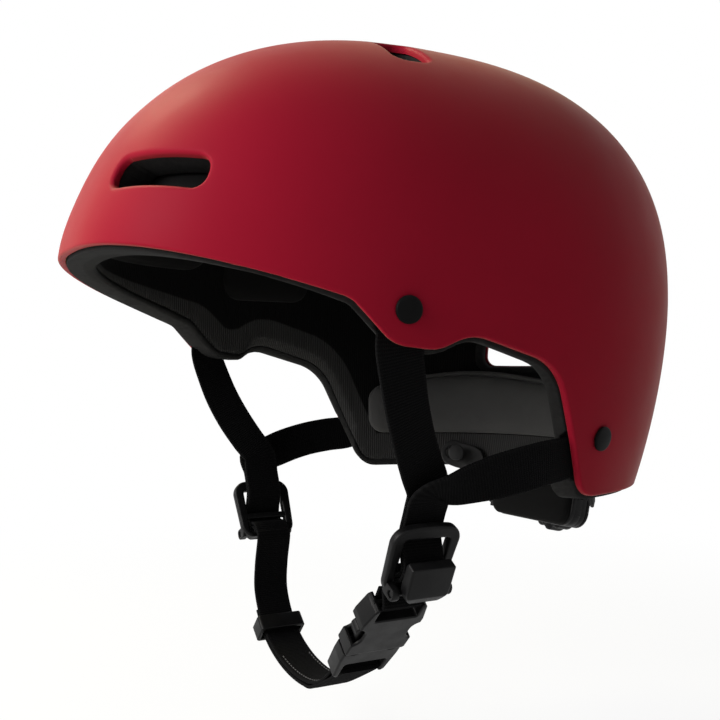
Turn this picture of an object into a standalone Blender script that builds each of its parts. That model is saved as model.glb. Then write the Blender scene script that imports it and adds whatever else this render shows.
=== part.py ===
"""Water sports helmet: a moulded shell over a foam liner, with pads, a dial fit band and a chin harness.

Metres, +Z up. The front of the helmet faces -Y and the wearer's left is +X.
The origin is the middle of the head cavity, where the shell is widest.
"""

import math

import bmesh
import bpy
from mathutils import Matrix, Vector

# Driving sizes of the shell
SHELL_LENGTH = 0.269
SHELL_WIDTH = 0.214
CROWN_HEIGHT = 0.109
SKIRT_REACH = 0.2216
PLAN_POWER = 2.5
CROWN_POWER = 2.41
SKIRT_POWER = 1.7
SHELL_WALL = 0.003
BROW_FLARE = 0.004
BROW_FLARE_START = 0.060
BROW_FLARE_SPREAD = 0.024

# Rim seen from the side: the brow line, the temple lobe, the ear arch and the rear skirt
BROW_Z = 0.0146
BROW_SLOPE = 0.307
TEMPLE_Y = -0.0654
LOBE_FRONT = (-0.0500, -0.0225)
LOBE_REAR = (-0.0330, -0.0243)
EAR_TOP = (-0.0190, -0.0183)
EAR_REAR = (0.0212, -0.0294)
SKIRT_FRONT_Y = 0.0435
SKIRT_Z = -0.0820
RIM_RADIUS = {"temple": 0.010, "lobe": 0.014, "ear": 0.020, "ear_rear": 0.024, "skirt": 0.013}

# Liner and pads
SEAT_GAP = 0.0003
LINER_WALL = 0.011
LINER_PROUD = 0.0015
EAR_RELIEF_DEPTH = 0.0055
EAR_RELIEF_LENGTH = 0.0080
EAR_RELIEF_START_Y = -0.0360
EAR_RELIEF_END_Z = -0.0740
EAR_RELIEF_FADE = 0.0120
PAD_THICKNESS = 0.007
PAD_EDGE = 0.0022
BROW_PAD_RISE = (0.0050, 0.0360)
REAR_PAD_FOOT = 0.0165
REAR_PAD_TOP = -0.0335
SIDE_PAD_Z = (0.0060, 0.0480)

# Vents: middle (x, y), height, length, width and turn about the vent's own axis
VENT_CORNER = 0.0055
FRONT_VENT = {"lon": 24.0, "z": 0.0402, "length": 0.047, "width": 0.0125, "turn": -6.0}
CROWN_VENT = {"lon": 70.0, "z": 0.0963, "length": 0.032, "width": 0.0150, "turn": 90.0}
REAR_VENT = {"lon": 160.0, "z": -0.0212, "length": 0.046, "width": 0.0145, "turn": 0.0}
LINER_VENT_MARGIN = 0.0010

# Webbing and its anchors
WEBBING_WIDTH = 0.018
WEBBING_THICKNESS = 0.0016
FRONT_ANCHOR = (-0.0451, -0.0104)
REAR_ANCHOR = (0.0493, -0.0582)
RIVET_RADIUS = 0.0050
RIVET_HEAD = 0.0016
RIVET_SHANK_RADIUS = 0.0022
ANCHOR_NUT_RADIUS = 0.0060
ANCHOR_NUT_THICKNESS = 0.0018
FACET_GAP = 0.0009
HOLE_GAP = 0.0003
POCKET_MARGIN = 0.0025
STRAP_TOP = 0.0085

# Divider, where a front and a rear strap meet
DIVIDER_AT = (0.0750, -0.0225, -0.1030)
DIVIDER_LEAN = 27.0
DIVIDER_SIZE = (0.0305, 0.0285, 0.0040)
DIVIDER_CORNER = 0.0060
DIVIDER_ARCH = 0.0016
DIVIDER_TAPER = 0.10
LUG_OUTSIDE = 0.0134
DIVIDER_BAR = 0.0040
DIVIDER_CROSSBAR = (-0.0050, -0.0020)
DIVIDER_CROSSBAR_TOP = 0.0006
FLAP_HEIGHT = 0.0150
FLAP_THICKNESS = 0.0054
FLAP_PIN_RADIUS = 0.0012
FLAP_PIN_Y = -0.0105

# Side-release buckle, along its own axis from the male end to the female end
BUCKLE_LEAN = 45.0
BUCKLE_BAR_AT = (0.0590, -0.0225, -0.1220)
BUCKLE_WIDTH = 0.0280
BUCKLE_THICKNESS = 0.0098
FEMALE_LENGTH = 0.0340
FEMALE_MOUTH = 0.0020
FEMALE_CAVITY_END = 0.0225
FEMALE_WALL = 0.0022
WINDOW = (0.0095, 0.0210)
BUCKLE_BAR_RADIUS = 0.0013
BUCKLE_SLOT = 0.0052
MALE_BASE_LENGTH = 0.0175
MALE_THICKNESS = 0.0080
PRONG_PIVOT = (0.0088, 0.0030)
PRONG_WIDTH = 0.0026
PRONG_LENGTH = 0.0165
GUIDE_WIDTH = 0.0042
BUCKLE_FIT = 0.0004

# Strap keeper
KEEPER_LENGTH = 0.0080
KEEPER_WALL = 0.0019
KEEPER_FIT = 0.0008
LAYER_STEP = 0.0021

# Dial fit band at the nape
DIAL_FROM_REAR = 0.0415
DIAL_BELOW_SKIRT = 0.0135
DIAL_AT = (0.0, 0.5 * SHELL_LENGTH - DIAL_FROM_REAR, SKIRT_Z - DIAL_BELOW_SKIRT)
DIAL_TILT = 12.0
HOUSING_SIZE = (0.060, 0.022, 0.009)
HOUSING_WALL = 0.0024
HOUSING_FLOOR = 0.0020
COVER_THICKNESS = 0.0020
KNOB_RADIUS = 0.0145
KNOB_THICKNESS = 0.0120
KNOB_LOBES = 12
KNOB_LOBE_DEPTH = 0.0009
PINION_TEETH = 10
GEAR_MODULE = 0.0008
SHAFT_RADIUS = 0.0024
RACK_THICKNESS = 0.0024
RACK_BACK = 0.0032
BAND_HEIGHT = 0.0140
BAND_THICKNESS = 0.0016
BAND_TRAVEL = 0.0050
BAND_SLOPE = 20.0
BAND_STUD_AT = (0.0575, -0.0785)
STUD_RADIUS = 0.0024
STUD_FLANGE_RADIUS = 0.0048
STUD_FLANGE = 0.0012

# Mesh fineness
COLUMNS = 48
CROWN_ROWS = 9
SKIRT_ROWS = 3
ROUND_STEPS = 16
STRAP_STEPS = 2

LINER_INSET = SHELL_WALL + SEAT_GAP
PAD_INSET = LINER_INSET + LINER_WALL + FACET_GAP
LEFT, RIGHT = 1, -1


# Scene, materials and mesh helpers


def clear_scene():
    for obj in list(bpy.data.objects):
        bpy.data.objects.remove(obj, do_unlink=True)


def material(name, rgb, roughness, metallic=0.0):
    made = bpy.data.materials.get(name) or bpy.data.materials.new(name)
    made.use_nodes = True
    shader = made.node_tree.nodes["Principled BSDF"]
    shader.inputs["Base Color"].default_value = (*rgb, 1.0)
    shader.inputs["Roughness"].default_value = roughness
    shader.inputs["Metallic"].default_value = metallic
    return made


def shell_paint():
    return material("matte_red_shell", (0.26, 0.012, 0.02), 0.55)


def foam():
    return material("grey_foam", (0.035, 0.035, 0.036), 0.9)


def pad_cloth():
    return material("black_pad_cloth", (0.012, 0.012, 0.013), 0.95)


def webbing():
    return material("black_webbing", (0.008, 0.008, 0.009), 0.9)


def moulding():
    return material("black_moulding", (0.018, 0.018, 0.019), 0.5)


def rivet_plastic():
    return material("black_rivet", (0.012, 0.012, 0.013), 0.6)


def steel():
    return material("anchor_steel", (0.55, 0.55, 0.56), 0.35, 1.0)


def object_from(name, mesh, finish, placed=None):
    """A scene object for a mesh, smooth where its faces meet softly."""
    obj = bpy.data.objects.new(name, mesh)
    bpy.context.scene.collection.objects.link(obj)
    mesh.materials.append(finish)
    mesh.shade_smooth()
    mesh.set_sharp_from_angle(angle=math.radians(32))
    if placed is not None:
        obj.matrix_world = placed
    return obj


def closed_mesh(name, points, faces):
    """A mesh with its doubles merged and its faces pointing out."""
    mesh = bpy.data.meshes.new(name)
    mesh.from_pydata([tuple(p) for p in points], [], faces)
    work = bmesh.new()
    work.from_mesh(mesh)
    bmesh.ops.remove_doubles(work, verts=work.verts, dist=1e-7)
    bmesh.ops.recalc_face_normals(work, faces=work.faces)
    work.to_mesh(mesh)
    work.free()
    return mesh


def loft(name, rings, finish, placed=None, capped=True):
    """A closed solid through rings of equally many points."""
    count = len(rings[0])
    points = [p for ring in rings for p in ring]
    faces = []
    for row in range(len(rings) - 1):
        for k in range(count):
            after = (k + 1) % count
            faces.append((row * count + k, row * count + after, (row + 1) * count + after,
                          (row + 1) * count + k))
    if capped:
        faces.append(tuple(range(count)))
        faces.append(tuple((len(rings) - 1) * count + k for k in range(count)))
    return object_from(name, closed_mesh(name, points, faces), finish, placed)


def turned(name, profile, finish, placed=None, steps=ROUND_STEPS):
    """A turned solid: (radius, height) pairs from one end of its axis to the other."""
    rings = []
    for radius, height in profile:
        reach = max(radius, 1e-6)
        turn = [2 * math.pi * k / steps for k in range(steps)]
        rings.append([Vector((reach * math.cos(t), reach * math.sin(t), height)) for t in turn])
    return loft(name, rings, finish, placed)


def frame_at(origin, across, along):
    """A right-handed frame: local x runs across, local y along, local z out."""
    y = Vector(along).normalized()
    x = Vector(across)
    x = (x - y * x.dot(y)).normalized()
    z = x.cross(y)
    placed = Matrix((x, y, z)).transposed().to_4x4()
    placed.translation = Vector(origin)
    return placed


def cut(obj, cutter, operation="DIFFERENCE"):
    """Cuts with, or joins, a helper solid that isn't a piece of the helmet."""
    cutter.hide_render = True
    cutter.display_type = "WIRE"
    step = obj.modifiers.new(f"{operation.lower()}_{cutter.name}", "BOOLEAN")
    step.operation = operation
    step.object = cutter
    return obj


def rounded_rectangle(width, height, radius, steps=5, middle=(0.0, 0.0)):
    radius = min(radius, 0.499 * width, 0.499 * height)
    points = []
    for corner, (sx, sy) in enumerate(((1, 1), (-1, 1), (-1, -1), (1, -1))):
        cx = middle[0] + sx * (0.5 * width - radius)
        cy = middle[1] + sy * (0.5 * height - radius)
        for k in range(steps + 1):
            angle = 0.5 * math.pi * (corner + k / steps)
            points.append((cx + radius * math.cos(angle), cy + radius * math.sin(angle)))
    return points


def prism(name, outline, low, high, finish, placed=None):
    rings = [[Vector((x, y, z)) for x, y in outline] for z in (low, high)]
    return loft(name, rings, finish, placed)


def block(name, low, high, finish, placed=None, radius=0.0004):
    """A box between two corners, with its upright edges rounded."""
    middle = (0.5 * (low[0] + high[0]), 0.5 * (low[1] + high[1]))
    outline = rounded_rectangle(high[0] - low[0], high[1] - low[1], radius, 2, middle)
    return prism(name, outline, low[2], high[2], finish, placed)


def cylinder(name, radius, low, high, finish, placed=None, steps=ROUND_STEPS):
    return turned(name, [(0, low), (radius, low), (radius, high), (0, high)], finish, placed, steps)


def rounded_polyline(corners, steps=5):
    """Straight runs joined by arcs: (x, y, radius) corners, the two ends left sharp."""
    points = [Vector(corners[0][:2])]
    for k in range(1, len(corners) - 1):
        here = Vector(corners[k][:2])
        back = (Vector(corners[k - 1][:2]) - here).normalized()
        ahead = (Vector(corners[k + 1][:2]) - here).normalized()
        half = 0.5 * back.angle(ahead)
        radius = corners[k][2]
        middle = here + (back + ahead).normalized() * (radius / math.sin(half))
        start = here + back * (radius / math.tan(half)) - middle
        end = here + ahead * (radius / math.tan(half)) - middle
        swing = start.angle_signed(end)
        for j in range(steps + 1):
            points.append(middle + Matrix.Rotation(-swing * j / steps, 2) @ start)
    points.append(Vector(corners[-1][:2]))
    return points


def smooth_path(points, steps=4):
    """A smooth curve through the points, with that many steps between each pair."""
    points = [Vector(p) for p in points]
    padded = [2 * points[0] - points[1], *points, 2 * points[-1] - points[-2]]
    curve = []
    for k in range(1, len(padded) - 2):
        a, b, c, d = padded[k - 1 : k + 3]
        for j in range(steps):
            t = j / steps
            curve.append(0.5 * (2 * b + (c - a) * t + (2 * a - 5 * b + 4 * c - d) * t**2
                                + (3 * b - a - 3 * c + d) * t**3))
    curve.append(points[-1])
    return curve


# The dome: the plan outline at each height, scaled by a side profile


def plan_reach(longitude, inset):
    """Distance from the axis to the plan outline at its widest; 0 is the front and 90 the left side."""
    across = abs(math.sin(longitude)) / (0.5 * SHELL_WIDTH - inset)
    ahead = abs(math.cos(longitude)) / (0.5 * SHELL_LENGTH - inset)
    return (across**PLAN_POWER + ahead**PLAN_POWER) ** (-1 / PLAN_POWER)


def side_scale(z, inset):
    """Share of the widest outline that the section at height z has."""
    height, power = (CROWN_HEIGHT - inset, CROWN_POWER) if z > 0 else (SKIRT_REACH, SKIRT_POWER)
    return max(0.0, 1 - min(1.0, abs(z) / height) ** power) ** (1 / power)


def brow_flare(y, z):
    """How far the brow stands forward of the plain dome."""
    reach = min(1.0, max(0.0, (-y - BROW_FLARE_START) / (0.5 * SHELL_LENGTH - BROW_FLARE_START)))
    return BROW_FLARE * reach**2 * math.exp(-(((z - BROW_Z) / BROW_FLARE_SPREAD) ** 2))


def dome_point(longitude, z, inset):
    reach = side_scale(z, inset) * plan_reach(longitude, inset)
    y = -reach * math.cos(longitude)
    return Vector((reach * math.sin(longitude), y - brow_flare(y, z), z))


def dome_side(y, z, inset, side):
    """The point of the dome's left or right wall at that y and z, clear of the brow."""
    scale = side_scale(z, inset)
    share = abs(y) / (scale * (0.5 * SHELL_LENGTH - inset))
    x = scale * (0.5 * SHELL_WIDTH - inset) * (1 - share**PLAN_POWER) ** (1 / PLAN_POWER)
    return Vector((side * x, y, z))


def dome_longitude(x, z, inset):
    """Longitude of the rear point of the dome at that x and z."""
    scale = side_scale(z, inset)
    share = abs(x) / (scale * (0.5 * SHELL_WIDTH - inset))
    y = scale * (0.5 * SHELL_LENGTH - inset) * (1 - share**PLAN_POWER) ** (1 / PLAN_POWER)
    return math.atan2(x, -y)


def dome_normal(longitude, z, inset):
    step = 1e-4
    around = dome_point(longitude + step, z, inset) - dome_point(longitude - step, z, inset)
    upward = dome_point(longitude, z + step, inset) - dome_point(longitude, z - step, inset)
    return around.cross(upward).normalized()


def dome_rows(inset, bottom):
    """Heights of the grid's rows, from near the crown down to the bottom."""
    crown = CROWN_HEIGHT - inset
    upper = [crown * math.sin(0.5 * math.pi * (1 - k / CROWN_ROWS)) ** (2 / CROWN_POWER)
             for k in range(1, CROWN_ROWS)]
    lower = [bottom * k / SKIRT_ROWS for k in range(SKIRT_ROWS + 1)]
    return upper + lower


def dome_layer(inset, bottom):
    """Rings of dome points, and the crown point above them."""
    turns = [2 * math.pi * k / COLUMNS for k in range(COLUMNS)]
    rings = [[dome_point(t, z, inset) for t in turns] for z in dome_rows(inset, bottom)]
    return Vector((0, 0, CROWN_HEIGHT - inset)), rings


def bowl(name, outer, inner, bottom, finish):
    """A dome-shaped wall between two insets, open underneath."""
    points, faces = [], []
    edges = []
    for inset, inwards in ((outer, False), (inner, True)):
        crown, rings = dome_layer(inset, bottom)
        first = len(points)
        points += [crown] + [p for ring in rings for p in ring]
        for row in range(len(rings)):
            here = first + 1 + row * COLUMNS
            for k in range(COLUMNS):
                after = (k + 1) % COLUMNS
                if row == 0:
                    faces.append((first, here + k, here + after))
                if row + 1 < len(rings):
                    faces.append((here + k, here + after, here + COLUMNS + after, here + COLUMNS + k))
        edges.append(first + 1 + (len(rings) - 1) * COLUMNS)
    for k in range(COLUMNS):
        after = (k + 1) % COLUMNS
        faces.append((edges[0] + k, edges[0] + after, edges[1] + after, edges[1] + k))
    return object_from(name, closed_mesh(name, points, faces), finish)


# Rim, vents and holes


def rim_line(drop):
    """The rim from the side, front to rear, lowered by drop."""
    front = -0.5 * SHELL_LENGTH
    temple_z = BROW_Z - BROW_SLOPE * (TEMPLE_Y - front)
    beyond = 0.5 * SHELL_LENGTH
    corners = [
        (front - beyond, BROW_Z + BROW_SLOPE * beyond, 0),
        (TEMPLE_Y, temple_z, RIM_RADIUS["temple"]),
        (*LOBE_FRONT, RIM_RADIUS["lobe"]),
        (*LOBE_REAR, RIM_RADIUS["lobe"]),
        (*EAR_TOP, RIM_RADIUS["ear"]),
        (*EAR_REAR, RIM_RADIUS["ear_rear"]),
        (SKIRT_FRONT_Y, SKIRT_Z, RIM_RADIUS["skirt"]),
        (SHELL_LENGTH, SKIRT_Z, 0),
    ]
    return [Vector((p.x, p.y - drop)) for p in rounded_polyline(corners)]


def rim_cutter(name, drop):
    """Everything below the rim, right across the helmet."""
    line = rim_line(drop)
    floor = 3 * SKIRT_Z
    outline = [(p.x, p.y) for p in line] + [(line[-1].x, floor), (line[0].x, floor)]
    reach = SHELL_WIDTH
    rings = [[Vector((x, y, z)) for y, z in outline] for x in (-reach, reach)]
    return loft(name, rings, foam())


def ear_relief(side):
    """A wedge along the ear opening, which thins the foam's edge and fades out at both ends."""
    line = rim_line(0)
    path = []
    for a, b in zip(line, line[1:]):
        steps = max(1, math.ceil((b - a).length / EAR_RELIEF_LENGTH))
        path += [a.lerp(b, k / steps) for k in range(steps)]
    path = [p for p in path if EAR_RELIEF_START_Y < p.x < SKIRT_FRONT_Y and p.y > EAR_RELIEF_END_Z]
    slope = EAR_RELIEF_DEPTH / EAR_RELIEF_LENGTH
    rings = []
    for k, p in enumerate(path):
        run = (path[min(k + 1, len(path) - 1)] - path[max(k - 1, 0)]).normalized()
        into = Vector((-run.y, run.x))
        fade = min(p.x - EAR_RELIEF_START_Y, p.y - EAR_RELIEF_END_Z) / EAR_RELIEF_FADE
        edge = LINER_INSET + LINER_WALL - EAR_RELIEF_DEPTH * min(1.0, fade)
        outside = -3 * LINER_PROUD
        section = [(outside, edge + slope * (outside + LINER_PROUD)),
                   (EAR_RELIEF_LENGTH, edge + slope * (EAR_RELIEF_LENGTH + LINER_PROUD)),
                   (outside, LINER_INSET + 2 * LINER_WALL)]
        rings.append([dome_side(*(p + into * reach), depth, side) for reach, depth in section])
    return loft(f"ear_relief_{side}", rings, foam())


def vent_frame(vent, side):
    longitude = math.radians(vent["lon"]) * side
    middle = dome_point(longitude, vent["z"], 0)
    out = dome_normal(longitude, vent["z"], 0)
    level = Vector((0, 0, 1)).cross(out).normalized()
    placed = frame_at(middle, level, out.cross(level))
    return placed @ Matrix.Rotation(math.radians(vent["turn"] * side), 4, "Z")


def vent_cutters(margin, label):
    cutters = []
    for row, vent in (("front", FRONT_VENT), ("crown", CROWN_VENT), ("rear", REAR_VENT)):
        for word, side in (("left", LEFT), ("right", RIGHT)):
            outline = rounded_rectangle(vent["length"] + 2 * margin, vent["width"] + 2 * margin,
                                        VENT_CORNER + margin, 4)
            deep = 3 * (SHELL_WALL + LINER_WALL)
            placed = vent_frame(vent, side)
            cutters.append(prism(f"{label}_{row}_{word}_cutter", outline, -deep, deep, foam(), placed))
    return cutters


def anchors():
    """(name, side, y, z) of the four strap anchors."""
    found = []
    for word, side in (("left", LEFT), ("right", RIGHT)):
        found.append((f"{word}_front", side, *FRONT_ANCHOR))
        found.append((f"{word}_rear", side, *REAR_ANCHOR))
    return found


def wall_normal(y, z, side):
    step = 1e-4
    around = dome_side(y + step, z, 0, side) - dome_side(y - step, z, 0, side)
    upward = dome_side(y, z + step, 0, side) - dome_side(y, z - step, 0, side)
    return (around.cross(upward) * side).normalized()


def anchor_frame(y, z, side):
    """A frame on the shell's outside at an anchor, local z pointing out."""
    out = wall_normal(y, z, side)
    level = Vector((0, side, 0)) - out * (side * out.y)
    return frame_at(dome_side(y, z, 0, side), level, out.cross(level))


STRAP_INSET = SHELL_WALL + FACET_GAP + 0.5 * WEBBING_THICKNESS
NUT_INSET = STRAP_INSET + 0.5 * WEBBING_THICKNESS + HOLE_GAP


def ribbon(name, path, across, finish, width=WEBBING_WIDTH, thickness=WEBBING_THICKNESS):
    """A flat strap along a path. across gives the width direction at each point."""
    rings = []
    for k, here in enumerate(path):
        run = (path[min(k + 1, len(path) - 1)] - path[max(k - 1, 0)]).normalized()
        wide = across[k] - run * across[k].dot(run)
        wide.normalize()
        face = wide.cross(run)
        w, t = 0.5 * width * wide, 0.5 * thickness * face
        rings.append([here - w - t, here + w - t, here + w + t, here - w + t])
    return loft(name, rings, finish)


# Strap routes


def tilted(origin, lean, side):
    """A frame whose y leans outwards from straight up and whose z faces outwards."""
    angle = math.radians(lean)
    along = Vector((side * math.sin(angle), 0, math.cos(angle)))
    start = Vector((side * origin[0], origin[1], origin[2]))
    return frame_at(start, (0, side, 0), along)


def divider_frame(side):
    return tilted(DIVIDER_AT, DIVIDER_LEAN, side)


def buckle_frame():
    """The buckle's frame: the origin where its two halves meet, y towards the female half's bar."""
    bar = tilted(BUCKLE_BAR_AT, BUCKLE_LEAN, LEFT)
    return bar @ Matrix.Translation((0, -FEMALE_LENGTH + BUCKLE_BAR_RADIUS, 0))


def weave(layer):
    """How straps run through a divider, as local (y, z) points; layer 1 lies over layer -1."""
    bar_clear = 0.5 * DIVIDER_SIZE[2] + WEBBING_THICKNESS + 2.5 * SEAT_GAP
    over = DIVIDER_CROSSBAR_TOP + WEBBING_THICKNESS + 2.5 * SEAT_GAP
    cross_low, cross_high = DIVIDER_CROSSBAR
    top = 0.5 * DIVIDER_SIZE[1]
    middle = [
        (top + 0.0130, -bar_clear - 0.0006), (top + 0.0050, -bar_clear - 0.0006),
        (top - 0.0030, -bar_clear), (top - 0.0068, -bar_clear + 0.0010),
        (cross_high + 0.0052, 0.0002), (cross_high + 0.0016, over - 0.0002),
        (0.5 * (cross_low + cross_high), over + 0.0002), (cross_low - 0.0010, over - 0.0008),
        (cross_low - 0.0030, -0.0008), (cross_low - 0.0046, -bar_clear + 0.0006),
        (-top + 0.0016, -bar_clear - 0.0004), (-top - 0.0024, -bar_clear - 0.0006),
    ]
    offset = layer * 0.5 * (WEBBING_THICKNESS + SEAT_GAP)
    moved = []
    for k, here in enumerate(middle):
        run = Vector(middle[min(k + 1, len(middle) - 1)]) - Vector(middle[max(k - 1, 0)])
        run.normalize()
        spread = 2.4 if k == 0 else 1.0
        moved.append(Vector(here) + spread * offset * Vector((run.y, -run.x)))
    return moved


def weave_points(side, layer):
    placed = divider_frame(side)
    return [placed @ Vector((0, y, z)) for y, z in weave(layer)]


def front_route(side):
    """The front strap from its anchor down to the divider's far side."""
    y, z = FRONT_ANCHOR
    drops = (STRAP_TOP, 0.5 * STRAP_TOP, 0, -0.007, -0.0135)
    hidden = [dome_side(y, z + d, STRAP_INSET, side) for d in drops]
    rim = hidden[-1]
    woven = weave_points(side, -1)
    span = woven[0] - rim
    bow = Vector((side * 0.0020, -0.0030, 0))
    hanging = [rim + span * t + bow * math.sin(math.pi * t) for t in (0.2, 0.42, 0.64, 0.84)]
    return hidden, hanging + woven


def rear_route(side):
    """The rear strap from its anchor forward and down to the divider's far side."""
    y, z = REAR_ANCHOR
    run = Vector((-0.890, -0.456))
    hidden = []
    for d in (-STRAP_TOP, -0.5 * STRAP_TOP, 0, 0.008, 0.016):
        hidden.append(dome_side(y + run.x * d, z + run.y * d, STRAP_INSET, side))
    edge = hidden[-1]
    woven = weave_points(side, 1)[:-1]
    span = woven[0] - edge
    bow = Vector((side * 0.0060, 0.001, 0.0020))
    hanging = [edge + span * t + bow * math.sin(math.pi * t) for t in (0.2, 0.42, 0.64, 0.84)]
    return hidden, hanging + woven


def side_widths(path, side, hidden):
    """Width directions of a strap that lies flat on the shell's inside, then hangs facing sideways."""
    wide = []
    for k, here in enumerate(path):
        run = (path[min(k + 1, len(path) - 1)] - path[max(k - 1, 0)]).normalized()
        share = min(1.0, max(0.0, (k - hidden) / (3 * STRAP_STEPS)))
        held = path[min(k, hidden)]
        out = wall_normal(held.y, held.z, side) * (1 - share) + Vector((side, 0, 0)) * share
        wide.append(out.cross(run).normalized() * side)
    return wide


def woven_widths(path, side, woven_from, hidden):
    """Width directions that swing to level over the last stretch, inside the divider."""
    plain = side_widths(path, side, hidden)
    level = Vector((0, 1, 0))
    if plain[woven_from].dot(level) < 0:
        level = -level
    start = max(0, woven_from - 4 * STRAP_STEPS)
    turned_to = []
    for k, wide in enumerate(plain):
        share = min(1.0, max(0.0, (k - start) / (woven_from - start)))
        turned_to.append((wide * (1 - share) + level * share).normalized())
    return turned_to


def wrap(placed, bar_y, reach, first_side, steps=8):
    """A half turn round a bar: local points from one face of the buckle to the other."""
    points = []
    for k in range(steps + 1):
        angle = math.pi * k / steps
        points.append(placed @ Vector((0, bar_y + reach * math.sin(angle),
                                       first_side * math.cos(angle) * abs(reach))))
    return points


def bar_reach():
    return 1.42 * BUCKLE_BAR_RADIUS + SEAT_GAP + 0.5 * WEBBING_THICKNESS


def left_tail():
    """From the left divider round the female half's bar and back up to the sewn end."""
    placed = buckle_frame()
    bar_y = FEMALE_LENGTH - BUCKLE_BAR_RADIUS
    loop = wrap(placed, bar_y, -bar_reach(), 1)
    end = placed @ Vector((0, bar_y + 0.0046, -bar_reach() - 0.0010))
    start = placed @ Vector((0, bar_y + 0.0022, bar_reach() + 0.0001))
    return [start] + loop + [end]


CHIN = ((-0.0655, -0.1290), (-0.0660, -0.1420), (-0.0590, -0.1545), (-0.0470, -0.1640),
        (-0.0300, -0.1700), (-0.0110, -0.1716), (0.0050, -0.1685))


def chin_run():
    """The chin strap below the right divider, as far as the male half."""
    y = DIVIDER_AT[1]
    return [Vector((x, y, z)) for x, z in CHIN]


def right_tail():
    """From the chin run round the male half's bar, and the free end back through the keeper."""
    placed = buckle_frame()
    bar_y = -MALE_BASE_LENGTH + BUCKLE_BAR_RADIUS
    loop = wrap(placed, bar_y, bar_reach(), -1)
    entry = placed @ Vector((0, bar_y - 0.0060, -bar_reach() + 0.0008))
    run = smooth_path(chin_run(), 3)
    back = []
    for k in range(len(run) - 1, 4, -1):
        ahead = (run[min(k + 1, len(run) - 1)] - run[k - 1]).normalized()
        below = Vector((ahead.z, 0, -ahead.x))
        back.append(run[k] + below * LAYER_STEP)
    return entry, loop, back[1::2]


# Pieces of the shell, the liner and the pads


def make_shell():
    shell = bowl("outer_shell", 0, SHELL_WALL, 1.2 * SKIRT_Z, shell_paint())
    cut(shell, rim_cutter("shell_rim_cutter", 0))
    for cutter in vent_cutters(0, "shell_vent"):
        cut(shell, cutter)
    for name, side, y, z in anchors():
        hole = RIVET_SHANK_RADIUS + HOLE_GAP
        cut(shell, cylinder(f"{name}_shell_hole", hole, -0.02, 0.02, foam(), anchor_frame(y, z, side)))


def make_liner():
    liner = bowl("foam_liner", LINER_INSET, LINER_INSET + LINER_WALL, 1.2 * SKIRT_Z, foam())
    cut(liner, rim_cutter("liner_rim_cutter", LINER_PROUD))
    for cutter in vent_cutters(LINER_VENT_MARGIN, "liner_vent"):
        cut(liner, cutter)
    for side in (1, -1):
        cut(liner, ear_relief(side))
    for name, side, y, z in anchors():
        hidden = (front_route(side) if name.endswith("front") else rear_route(side))[0]
        first = hidden[0] + (hidden[0] - hidden[1]).normalized() * POCKET_MARGIN
        last = hidden[-1] + (hidden[-1] - hidden[-2]).normalized() * 0.012
        path = [first, *hidden, last]
        wide = side_widths(path, side, len(hidden))
        pocket = ribbon(f"{name}_pocket", path, wide, foam(), WEBBING_WIDTH + 2 * POCKET_MARGIN,
                        WEBBING_THICKNESS + 4 * FACET_GAP)
        cut(liner, pocket)
        low = -(NUT_INSET + ANCHOR_NUT_THICKNESS + POCKET_MARGIN)
        cut(liner, cylinder(f"{name}_nut_pocket", ANCHOR_NUT_RADIUS + POCKET_MARGIN, low, 0.01, foam(),
                            anchor_frame(y, z, side)))


def pad(name, lon_range, z_range, finish, columns=14, rows=6, thickness=PAD_THICKNESS):
    """A crowned pad on the liner's inside, between two longitudes and two heights."""
    backs, fronts = [], []
    for row in range(rows + 1):
        v = row / rows
        for column in range(columns + 1):
            u = column / columns
            longitude = math.radians(lon_range[0] + (lon_range[1] - lon_range[0]) * u)
            z = z_range[0] + (z_range[1] - z_range[0]) * v
            swell = (1 - (2 * u - 1) ** 8) ** 0.5 * (1 - (2 * v - 1) ** 4) ** 0.5
            backs.append(dome_point(longitude, z, PAD_INSET))
            fronts.append(dome_point(longitude, z, PAD_INSET + PAD_EDGE + (thickness - PAD_EDGE) * swell))
    wide = columns + 1
    points = backs + fronts
    faces = []
    for layer in (0, len(backs)):
        for row in range(rows):
            for column in range(columns):
                k = layer + row * wide + column
                faces.append((k, k + 1, k + wide + 1, k + wide))
    rim = ([c for c in range(columns)] + [r * wide + columns for r in range(rows)]
           + [rows * wide + c for c in range(columns, 0, -1)] + [r * wide for r in range(rows, 0, -1)])
    for k, here in enumerate(rim):
        after = rim[(k + 1) % len(rim)]
        faces.append((here, after, after + len(backs), here + len(backs)))
    return object_from(name, closed_mesh(name, points, faces), finish)


def crown_pad():
    """A round pad under the crown."""
    rings = 5
    turns = [2 * math.pi * k / 24 for k in range(24)]
    layers = []
    for thick in (0, 1):
        for ring in range(rings, 0, -1) if thick else range(1, rings + 1):
            share = 0.30 * ring / rings
            swell = (1 - (ring / rings) ** 4) ** 0.5
            inset = PAD_INSET + thick * (PAD_EDGE + (PAD_THICKNESS - PAD_EDGE) * swell)
            height = (CROWN_HEIGHT - inset) * (1 - share**CROWN_POWER) ** (1 / CROWN_POWER)
            layers.append([dome_point(t, height, inset) for t in turns])
    return loft("crown_pad", layers, pad_cloth())


def make_pads():
    pad("brow_pad", (-58, 58), (BROW_Z + BROW_PAD_RISE[0], BROW_Z + BROW_PAD_RISE[1]), pad_cloth(), 16)
    pad("rear_pad", (118, 242), (SKIRT_Z + REAR_PAD_FOOT, REAR_PAD_TOP), pad_cloth(), 18)
    pad("left_side_pad", (66, 96), SIDE_PAD_Z, pad_cloth(), 6)
    pad("right_side_pad", (-96, -66), SIDE_PAD_Z, pad_cloth(), 6)
    crown_pad()


# Anchors and straps


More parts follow.
